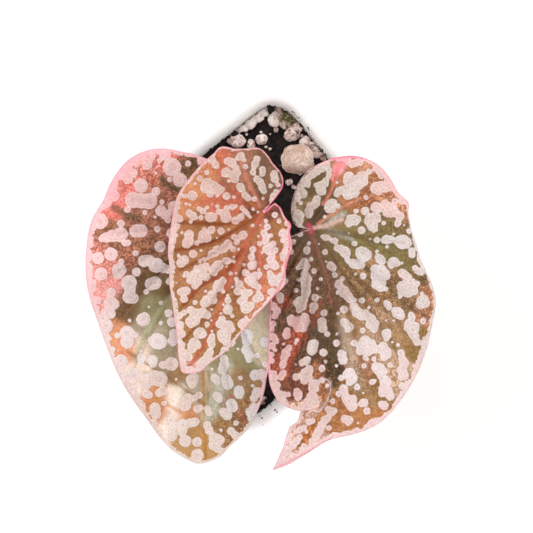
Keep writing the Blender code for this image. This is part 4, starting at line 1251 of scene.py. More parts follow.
# Left blade: rose and olive, the lowest and largest. Spots are (x, y, radius) in photograph pixels.
LEFT_BLADE.update(seed=31, vein_depth=0.22, frill=0.5)
LEFT_BLADE["spots"] = [
    (148, 156, 7), (147, 165, 5), (165, 154, 6), (125, 172, 7), (133, 173, 4.5), (128, 179, 5),
    (112, 185, 6), (114, 196, 5.5), (106, 202, 6), (141, 185.5, 7), (156, 191.5, 4.5), (133, 200, 8),
    (141, 201, 7.5), (149, 201, 8), (127.5, 209.5, 3.2), (145, 212.5, 2.6), (162, 202, 2.5),
    (161, 211, 5.5), (166, 215, 5), (168, 220, 3), (174, 207, 6), (172, 167, 9), (180, 180, 7),
    (188, 163.5, 3), (201, 161, 4), (169.5, 179.5, 2.5), (159.5, 160.5, 2.4), (156, 173, 1.5),
    (121, 223.5, 3.8), (155, 217, 1.7), (100, 221, 8), (136, 231, 6.5), (141, 231, 6.5), (112, 236, 6),
    (119, 235, 7), (122, 234, 6), (106, 237.5, 5), (157, 229, 3.2), (102, 238.5, 3.5), (125, 243, 3.5),
    (128, 243, 3), (160, 246.5, 5.5), (111, 254, 6.5), (98, 258, 6), (135.5, 253, 3), (121.5, 261.5, 2.7),
    (119, 270, 7), (118, 274, 5), (144, 261, 6), (149, 260, 5), (156, 265, 7.5), (163, 268, 5),
    (169, 270, 4), (136.5, 272, 4.3), (101, 274, 6.5), (129, 283, 7.8), (130, 291, 5.5), (129, 297, 6.5),
    (133, 298, 5.5), (151, 284, 6), (155, 283, 6.5), (146, 291.5, 2.8), (111, 292, 4.7), (110, 303, 6.5),
    (114, 304, 5.5), (161, 303, 2.2), (149, 307, 1.3), (107, 313, 6), (111, 314, 4.5), (106, 326, 7),
    (144, 319, 6.5), (142, 320, 5.8), (129.5, 320.5, 1.7), (160.5, 323, 2.2), (168.5, 313, 4),
    (172, 322, 5), (174, 334, 5), (173, 341, 5), (127, 333, 7), (131, 334, 4.5), (136, 335, 2.5),
    (127, 342, 6.5), (117, 335.5, 2.8), (157, 341, 8), (160, 342, 7), (150, 340, 2.8), (141, 358, 4.3),
    (141, 363, 3), (153, 360, 5), (153, 364, 3.8), (141, 351, 1.8), (171.5, 364, 6.8), (163, 365, 4),
    (121, 361, 6.5), (134, 375, 7), (146, 375.5, 2), (155, 378, 7.5), (160, 379, 7.5), (146, 384, 5.5),
    (146, 394, 4), (149, 395, 3.8), (159, 393, 4), (163, 391, 4.5), (135, 387, 2), (176, 379.5, 1.3),
    (164, 403.5, 2.7), (155, 408, 5.5), (156, 414, 5), (192, 380, 6), (194, 378, 5), (192, 385, 3.5),
    (188, 399, 5.5), (185, 405, 6), (199, 395, 3.5), (195, 398, 3), (197, 409, 4), (200, 407.5, 3),
    (207.5, 409, 3.5), (209, 413, 3.3), (217, 396, 4.3), (219, 399, 3.8), (215, 378, 4.3), (217, 382, 3),
    (226, 379, 5), (228, 384, 5.7), (239, 391, 5.3), (239, 394, 4.8), (231, 404, 5.3), (233, 407, 5.2),
    (223.5, 412, 4.5), (227, 415, 5), (236, 423, 2.7), (221, 430, 1.7), (231, 431, 4), (235, 435, 4),
    (171, 420, 3.5), (172, 428, 4), (172, 436, 5), (183, 425, 6), (190, 423, 4.5), (195, 422, 4.5),
    (182, 431, 5), (185, 441, 6), (197, 442, 4.8), (197.5, 455, 6.2), (207, 425, 4), (209, 430, 4.5),
    (214, 438, 5.5), (219, 440, 5.5), (214, 445, 5.5), (218, 449, 4), (223, 451, 3), (252.5, 385.5, 1.6),
    (255, 375, 5.5), (262, 374, 5), (264, 380, 3), (257, 392, 5), (254, 398, 4), (254, 408, 5),
    (250, 412, 4.5), (251, 418, 3.5), (240.5, 378, 2.3), (247, 335, 6), (247, 341, 5), (246, 350, 4.8),
    (249, 355, 4.8), (249, 360, 3), (257, 355.5, 2.7), (224, 359, 4.2), (224, 365, 5), (222.5, 369.5, 4.8),
    (238, 349, 1.5), (212, 369, 1.5), (265, 364, 3), (265, 342, 5),
]
# Washes are (colour, reach, then the places they are laid at), strokes (colour, half width, softness,
# strength, whether they cross the spots too, then the points they run through), all in photograph pixels.
LEFT_BLADE["washes"] = [
    ("#f5aaa4", 13, (128, 166), (108, 192), (150, 160), (102, 290)),
    ("#dc9288", 9, (98, 250), (112, 270)),
    ("#f0827a", 8, (126, 187), (117, 201), (112, 206), (165, 160)),
    ("#d27c68", 7, (150, 176), (135, 172)),
    ("#ad745e", 10, (160, 196), (140, 224), (168, 226), (130, 257)),
    ("#98684e", 10, (120, 243), (104, 232), (150, 245), (178, 245)),
    ("#6c4f2e", 10, (187, 172), (150, 272), (140, 280), (165, 284), (125, 305)),
    ("#8a8360", 11, (157, 311), (232, 358)),
    ("#9f9076", 11, (165, 352), (226, 395)),
    # Painted light: a paler wash that offsets the shade the middle blade casts here.
    ("#c9c0a8", 8, (262, 325), (258, 345), (264, 310)),
    ("#b0a28c", 9, (150, 330), (212, 386), (190, 393), (207, 408)),
    ("#dc9874", 8, (119, 345), (130, 352), (113, 332)),
    # Painted highlight: cream where the lower left of the blade catches the light.
    ("#efd8ca", 7, (142, 360), (132, 371), (140, 347), (175, 400), (175, 414), (168, 428), (137, 388)),
    ("#c6865e", 9, (150, 402), (188, 414), (163, 410)),
    ("#92704c", 7, (182, 373), (235, 375)),
    ("#a37e54", 10, (243, 404), (222, 432), (192, 434), (240, 425)),
    ("#b88e5e", 9, (202, 440), (185, 452), (215, 457)),
]
LEFT_BLADE["strokes"] = [
    ("#5e5230", 3.0, 3.0, 0.7, False, (114, 208), (124, 213), (138, 219)),
    ("#5a4e2e", 3.2, 3.0, 0.8, False, (162, 179), (172, 185), (182, 191)),
    # Painted highlight: a pale line of shine along the ridge.
    ("#b4b58e", 2.0, 2.5, 0.7, False, (182, 285), (165, 304), (152, 323), (141, 346), (136, 360)),
    # Painted highlight: a cream streak of shine on the lower left.
    ("#f4e6da", 3.0, 5.0, 0.55, True, (181, 388), (173, 403), (167, 425), (165, 446)),
    ("#a87434", 1.5, 1.2, 0.8, False, (203, 372), (204, 400), (205, 430), (205, 460)),
    ("#66683e", 1.2, 1.5, 0.6, False, (208, 372), (208, 400), (209, 425)),
    ("#d8b49e", 1.0, 1.2, 0.5, False, (206, 374), (209, 390)),
    # Painted sheen: a grey-green shine reflected on the lower right.
    ("#c4c8b8", 4.0, 6.0, 0.5, False, (228, 366), (219, 392), (208, 418)),
    ("#c8806c", 1.6, 1.5, 0.6, False, (230, 396), (238, 410), (245, 422)),
    ("#c08a50", 1.2, 1.5, 0.6, False, (205, 440), (190, 420), (168, 405), (150, 396)),
    ("#8a5a2c", 1.2, 1.5, 0.6, False, (204, 404), (183, 388), (160, 372), (128, 352)),
]
# Tints are the spots' own washes, the band is (x, y, width in mm) round the margin, and blush, flecks and
# shaded are (share, then the places where it holds) for pink, for speckle and for painted light against shade
# from a blade above.
LEFT_BLADE["tints"] = [
    ("#fbb9b9", 16, (118, 175), (108, 200), (140, 155)),
    ("#fcd0d0", 15, (99, 228), (96, 265), (104, 300)),
    ("#eac6c2", 24, (150, 190), (140, 205), (165, 170), (140, 231), (115, 240)),
    ("#e4d0ca", 24, (145, 262), (160, 268), (130, 290), (152, 284)),
    ("#f7e6e2", 20, (110, 325), (143, 320), (128, 338), (158, 341), (134, 375)),
    ("#ead5c9", 20, (190, 385), (158, 378), (158, 410), (188, 403)),
    ("#eddcd0", 20, (185, 430), (215, 440), (200, 455)),
    ("#e6e0da", 20, (240, 395), (225, 372), (255, 380)),
    # Painted light: the spots here are painted white against the shade of the middle blade.
    ("#ffffff", 12, (247, 340), (247, 354), (262, 345), (262, 365)),
    ("#ffffff", 8, (158, 341), (147, 360), (160, 264), (176, 420)),
]
LEFT_BLADE["band"] = [
    (206, 158, 0.9), (180, 152, 1.2), (150, 149, 2), (128, 161, 3.2), (113, 180, 2.6), (101, 206, 1.8),
    (90, 230, 2.2), (87, 260, 2.2), (90, 290, 2.8), (97, 318, 2.2), (107, 342, 2.2), (115, 367, 2.4),
    (130, 394, 2.8), (146, 417, 2), (166, 443, 1.6), (187, 458, 1.4), (204, 460, 1), (226, 448, 0.8),
    (240, 435, 1.2), (254, 418, 1.2), (264, 393, 1), (267, 372, 0.8), (262, 320, 0.8),
]
LEFT_BLADE["blush"] = [
    (1.0, (150, 150), (128, 161), (113, 180), (101, 206)),
    (0.8, (190, 156), (267, 375)),
    (0.45, (90, 240), (88, 270)),
    (0.3, (98, 318)),
    (0.08, (115, 367), (146, 417), (187, 458), (215, 458), (240, 435)),
]
LEFT_BLADE["flecks"] = [
    (1.0, (145, 178), (165, 196), (150, 235), (120, 250), (165, 240), (240, 412)),
    (0.5, (110, 200), (105, 290)),
    (0.1, (160, 312), (225, 380), (200, 400), (255, 350), (170, 380), (150, 400), (185, 430), (130, 365)),
]
LEFT_BLADE["shaded"] = [
    (1.0, (250, 335), (264, 318), (258, 355), (236, 352)),
    (0.0, (226, 385), (255, 390), (200, 390), (165, 330), (180, 170)),
]

# Middle blade: terracotta, the topmost and smallest, its spots so close that many run together.
MIDDLE_BLADE.update(seed=32, vein_depth=0.3, frill=0.35, shaded=[(0.0, (230, 250))])
MIDDLE_BLADE["spots"] = [
    (212, 160, 4), (216, 165, 3.8), (207, 172.5, 2.5), (200, 178.5, 3), (195, 183.5, 1.8), (207, 184, 5.5),
    (205, 188, 5), (213, 187, 6), (218, 190, 5.5), (209, 180.5, 2.5), (224, 189, 1.5), (192.5, 195.5, 5),
    (184.5, 196, 2.3), (210, 194.5, 3.2), (226.5, 196, 3.8), (234, 197, 2), (217, 196.5, 1.5),
    (186, 203.5, 1.8), (190, 205, 1.2), (212, 204, 1.3), (217.5, 206, 2.2), (227, 207.5, 2.8),
    (232, 207, 3), (236, 206, 2), (207, 207.5, 2), (199, 209, 2.5), (203, 211, 3), (189, 213, 3.5),
    (193, 216, 4), (196, 218, 2), (201, 217.5, 2.6), (210, 217, 4.8), (213, 217, 4.3), (219, 212, 3),
    (225, 213, 4.5), (226, 217.5, 5.3), (235.5, 220.5, 4), (241, 217, 3.5), (180, 219, 3.5), (176, 217, 4),
    (190.5, 222, 1.8), (174, 227, 4.5), (228, 161, 4), (232, 163, 4.5), (236, 168, 3.5), (237, 173, 4),
    (226, 172.5, 5), (232, 175, 4), (235, 179, 4), (229, 181, 1.7), (240, 186.5, 3.8), (241.5, 189, 3.5),
    (241, 156, 4), (238, 158, 2.5), (244, 160, 2.5), (245.5, 166.5, 2.7), (253, 172.5, 3), (257, 159, 3.5),
    (255, 164, 3.8), (254, 168, 2.5), (262.5, 169.5, 3.2), (262.5, 173.5, 3.2), (257, 179, 3.5),
    (260, 182, 4), (262, 187, 4), (264, 191, 3), (245, 195, 3.2), (248, 198, 3.2), (254.5, 199, 2.5),
    (263, 198.5, 1.8), (274, 174, 3.8), (275, 179, 4), (278, 185, 2.5), (270.5, 186, 2.3), (276, 192, 2.8),
    (273, 196, 3), (271, 200, 2), (242, 208, 2.5), (245, 211, 2.5), (248, 214, 2.2), (250, 217, 1.8),
    (253, 209, 1.7), (258, 212, 1.3), (266, 221, 2), (267.5, 227, 3.3), (252.5, 225.5, 1.7),
    (260, 225, 1.2), (275, 215, 3), (279, 221, 2.5), (287, 224, 2.5), (264, 233, 3.5), (266, 237, 3.5),
    (265.5, 241, 3.4), (271, 235.5, 2), (258.5, 236.5, 1.2), (286, 236, 4), (283, 232, 3.5),
    (281, 234, 2.5), (283, 240.5, 2.8), (289, 244, 3.5), (286, 246, 2.5), (234, 237, 2.8), (238, 238, 3),
    (243, 235, 4.5), (237, 242, 2.8), (221, 231, 3.6), (229, 229.5, 1.2), (217, 238, 1), (211.5, 230, 4),
    (204, 229, 2), (204, 235, 5.5), (207, 238, 4.5), (202, 239, 4), (197, 243, 2.6), (182, 232.5, 1.5),
    (189, 234.5, 4.8), (187, 243, 5.3), (190, 241, 4), (193, 254, 4.2), (178.5, 255.5, 1.7),
    (184, 260, 4.8), (181, 263, 4.5), (201, 250.5, 1.5), (218, 246.5, 1.3), (215, 249, 2.4), (212, 254, 4),
    (216, 253.5, 3), (228, 244, 4.5), (224, 248, 4.5), (221, 251, 3), (233.5, 249.5, 2.8),
    (226, 260.5, 3.6), (229, 261, 2.8), (234, 261.5, 2), (234, 257, 1.3), (244, 264.5, 1.9),
    (238.5, 249, 1.5), (253, 249.5, 3.4), (251.5, 257, 3.6), (252, 265.5, 4.4), (255, 262.5, 2),
    (245.5, 273, 3.6), (230.5, 273.5, 2.2), (236, 273, 1.2), (256, 276, 4.3), (252, 276, 3),
    (260, 274.5, 2.5), (247.5, 280, 3.2), (249, 283.5, 2), (236.5, 279, 2.2), (254, 284, 4.3),
    (258, 287, 3.3), (239, 284, 3.9), (232.5, 287, 1.2), (243.5, 287.5, 1.3), (259.5, 243.5, 2.5),
    (273, 243.5, 3.2), (270, 246, 3.5), (266, 249, 4), (268, 251, 3.5), (262, 253, 1.2), (275.5, 250.5, 3),
    (272, 256, 3.2), (269, 259.5, 3), (273, 264, 4.5), (275, 266, 4), (266, 267, 2.5), (259, 269.5, 1.7),
    (270, 273, 3), (271, 277, 4), (273, 282, 4.5), (277, 279, 4), (281, 276, 3.5), (283, 255, 3.5),
    (284, 258, 3.5), (285, 250.5, 3), (273, 292.5, 4.3), (270.5, 291.5, 3.4), (278.5, 284, 3),
    (200, 261, 2), (204, 259, 2.2), (208, 258, 1.8), (196, 268, 3), (201, 267.5, 3.5), (206, 266, 3.5),
    (204, 271, 3), (218, 265.5, 5.2), (213, 270, 4.8), (214, 273, 3), (226.5, 266.5, 1.2), (194, 276, 5.5),
    (201, 275, 5), (206, 277, 4), (198, 282, 4), (195, 286, 3.5), (186, 274, 3), (190, 280, 4),
    (184, 276, 1.8), (223, 280.5, 3.6), (219, 285, 5.3), (217, 287.5, 4.5), (223, 291.5, 2.2),
    (205.5, 291, 1.6), (212, 295, 4.8), (213, 300, 4.2), (206, 299, 3.5), (204, 303, 4.2), (208, 303, 3),
    (195, 302.5, 2.4), (184, 299, 4), (186, 291, 4.5), (181, 292, 4), (228, 295.5, 1.6), (228, 300.5, 3.4),
    (223, 304.5, 1.2), (237.5, 291.5, 3.8), (241, 291, 2.5), (246, 293.5, 4.4), (250, 292.5, 3),
    (244, 298, 4), (240, 301, 3.2), (256.5, 299, 4), (260, 297, 4), (258, 293, 2.5), (228, 309.5, 4.9),
    (246, 307.5, 6), (251, 305.5, 3.7), (221, 313.5, 1.3), (232.5, 316, 2.1), (211.5, 309.5, 1.5),
    (211.5, 320.5, 1.1), (212, 331, 1.3), (207, 324.5, 2.6), (191, 310, 4), (184, 312.5, 3), (180, 315, 3),
    (196, 314, 5.5), (203, 313, 5), (207, 315, 4), (194, 320, 6.3), (191, 323, 5), (188, 321, 3),
    (246.5, 317.5, 1.7), (222, 319.5, 3.8), (219, 324, 3.5), (224, 324, 4), (229, 325, 4.4),
    (232, 329, 3.4), (226, 330, 5), (222, 334, 5.3), (227, 336, 4.4), (226, 341, 4.3), (222, 339, 3.8),
    (243, 324, 5.2), (246, 321, 3.6), (200, 333, 5.6), (198, 334, 4.4), (203, 334, 4), (182, 334, 3.8),
    (180, 325, 4), (212, 336, 2.9), (211, 341, 4.4), (212, 345, 3.6), (194, 343, 5), (197, 345, 4.3),
    (191, 347, 4), (193, 350, 2.9), (210, 352, 3.8), (208, 356, 4.3), (206, 359, 2.8), (203, 362, 4.8),
    (199, 364, 3.3), (224, 350, 3.2), (182, 345, 3.5), (181, 351, 4), (184, 353, 4), (188, 356, 4.4),
    (183, 358, 4.2), (190, 359, 2),
]
MIDDLE_BLADE["washes"] = [
    ("#c6845e", 9, (196, 190), (182, 210), (200, 168)),
    ("#c4705a", 8, (215, 203), (222, 160)),
    ("#b86450", 8, (236, 196), (224, 200)),
    ("#96664e", 9, (246, 158), (240, 182)),
    ("#6e4e38", 8, (264, 160), (264, 184), (268, 172)),
    ("#6c3826", 7, (260, 211), (252, 204)),
    ("#9c6a42", 11, (200, 228), (215, 243), (180, 245)),
    ("#a67048", 9, (240, 234), (226, 262), (238, 300), (274, 240), (217, 320)),
    ("#a07546", 11, (190, 330), (183, 308), (238, 320), (218, 346)),
    ("#b07a54", 9, (190, 272), (210, 262), (205, 288), (212, 305), (180, 285)),
    ("#b0684e", 8, (242, 254), (232, 274), (262, 258)),
    ("#c67e5e", 8, (265, 285), (250, 290), (277, 262)),
    ("#d28d72", 8, (252, 315), (258, 302), (264, 300), (280, 285)),
    ("#b48857", 7, (200, 352), (224, 310)),
    ("#e2b4a8", 8, (190, 368)),
]
MIDDLE_BLADE["strokes"] = [
    ("#bd6248", 2.0, 1.6, 0.85, False, (262, 213), (250, 235), (243, 250), (237, 262), (229, 280),
     (223, 300), (218, 315), (213, 325), (207, 340), (198, 355), (185, 372)),
    ("#844017", 1.7, 1.6, 0.9, False, (258, 214), (242, 222), (222, 224), (200, 223), (178, 222)),
    ("#844017", 1.6, 1.6, 0.9, False, (254, 220), (238, 228), (220, 239), (195, 247), (172, 251)),
    ("#8a4a1e", 1.3, 1.6, 0.8, False, (247, 226), (230, 242), (205, 257), (180, 270)),
    ("#944620", 2.2, 2.0, 0.9, False, (243, 250), (230, 266), (217, 277), (200, 285), (184, 304)),
    ("#8f4e26", 1.2, 1.5, 0.7, False, (228, 290), (212, 308), (196, 326), (184, 340)),
    ("#c67254", 3.0, 3.0, 0.5, False, (244, 208), (235, 206), (210, 202), (184, 202)),
    ("#b4683c", 2.0, 2.0, 0.7, False, (256, 208), (240, 190), (226, 172), (216, 156)),
    ("#c4806a", 1.6, 1.5, 0.8, False, (260, 206), (250, 185), (242, 165), (238, 150)),
    ("#8a5a40", 1.2, 1.5, 0.7, False, (263, 206), (265, 190), (270, 168)),
    ("#d47a62", 1.6, 1.8, 0.8, False, (263, 220), (260, 240), (259, 260), (262, 280), (262, 300)),
    ("#5b4322", 1.2, 1.4, 0.6, False, (244, 262), (240, 275), (232, 290)),
    ("#e0607c", 0.9, 0.9, 0.9, True, (284, 182), (277, 198), (267, 211)),
    ("#e6697a", 0.8, 0.9, 0.75, True, (275, 203), (282, 210), (286, 218), (290, 224), (289, 234),
     (290, 248), (286, 262), (285, 272), (281, 284), (270, 303)),
]
MIDDLE_BLADE["tints"] = [
    ("#e0bfb4", 20, (210, 185), (235, 168), (190, 215), (215, 250)),
    ("#d3bfb2", 14, (262, 180), (242, 188), (257, 165)),
    ("#dfb9ae", 18, (228, 214), (240, 240), (198, 240)),
    ("#efd6d2", 16, (265, 240), (272, 262), (275, 285), (255, 270)),
    ("#ead2c8", 20, (200, 275), (220, 286), (186, 294), (195, 315)),
    ("#efdcd2", 20, (247, 302), (226, 332), (200, 334), (195, 350)),
    ("#f6d4d0", 12, (176, 232), (176, 330), (188, 370), (243, 325), (290, 240)),
]
MIDDLE_BLADE["band"] = [
    (268, 157, 0.3), (248, 148, 0.5), (221, 146, 0.7), (200, 165, 0.8), (182, 188, 0.9), (174, 210, 2),
    (170, 232, 2.8), (169, 255, 1.8), (168, 280, 1.6), (172, 300, 1.6), (175, 322, 2.4), (177, 347, 1.4),
    (180, 370, 2.8), (200, 372, 1.8), (218, 358, 1), (235, 341, 0.8), (249, 325, 0.9), (262, 311, 1),
    (274, 298, 1.2), (286, 283, 1.4), (287, 263, 1), (292, 245, 1.2), (290, 228, 0.9), (281, 209, 0.4),
]
MIDDLE_BLADE["blush"] = [
    (1.0, (282, 180), (270, 208), (291, 226), (291, 250), (286, 283)),
    (0.7, (262, 311), (235, 341), (268, 157)),
    (0.55, (210, 366), (188, 373), (174, 210), (170, 245), (200, 165)),
    (0.4, (177, 347), (169, 275), (173, 310), (235, 147)),
]
MIDDLE_BLADE["flecks"] = [
    (0.45, (270, 270), (255, 300), (225, 165), (185, 285), (190, 330)),
    (0.25, (200, 195), (215, 240), (262, 180), (235, 260)),
]

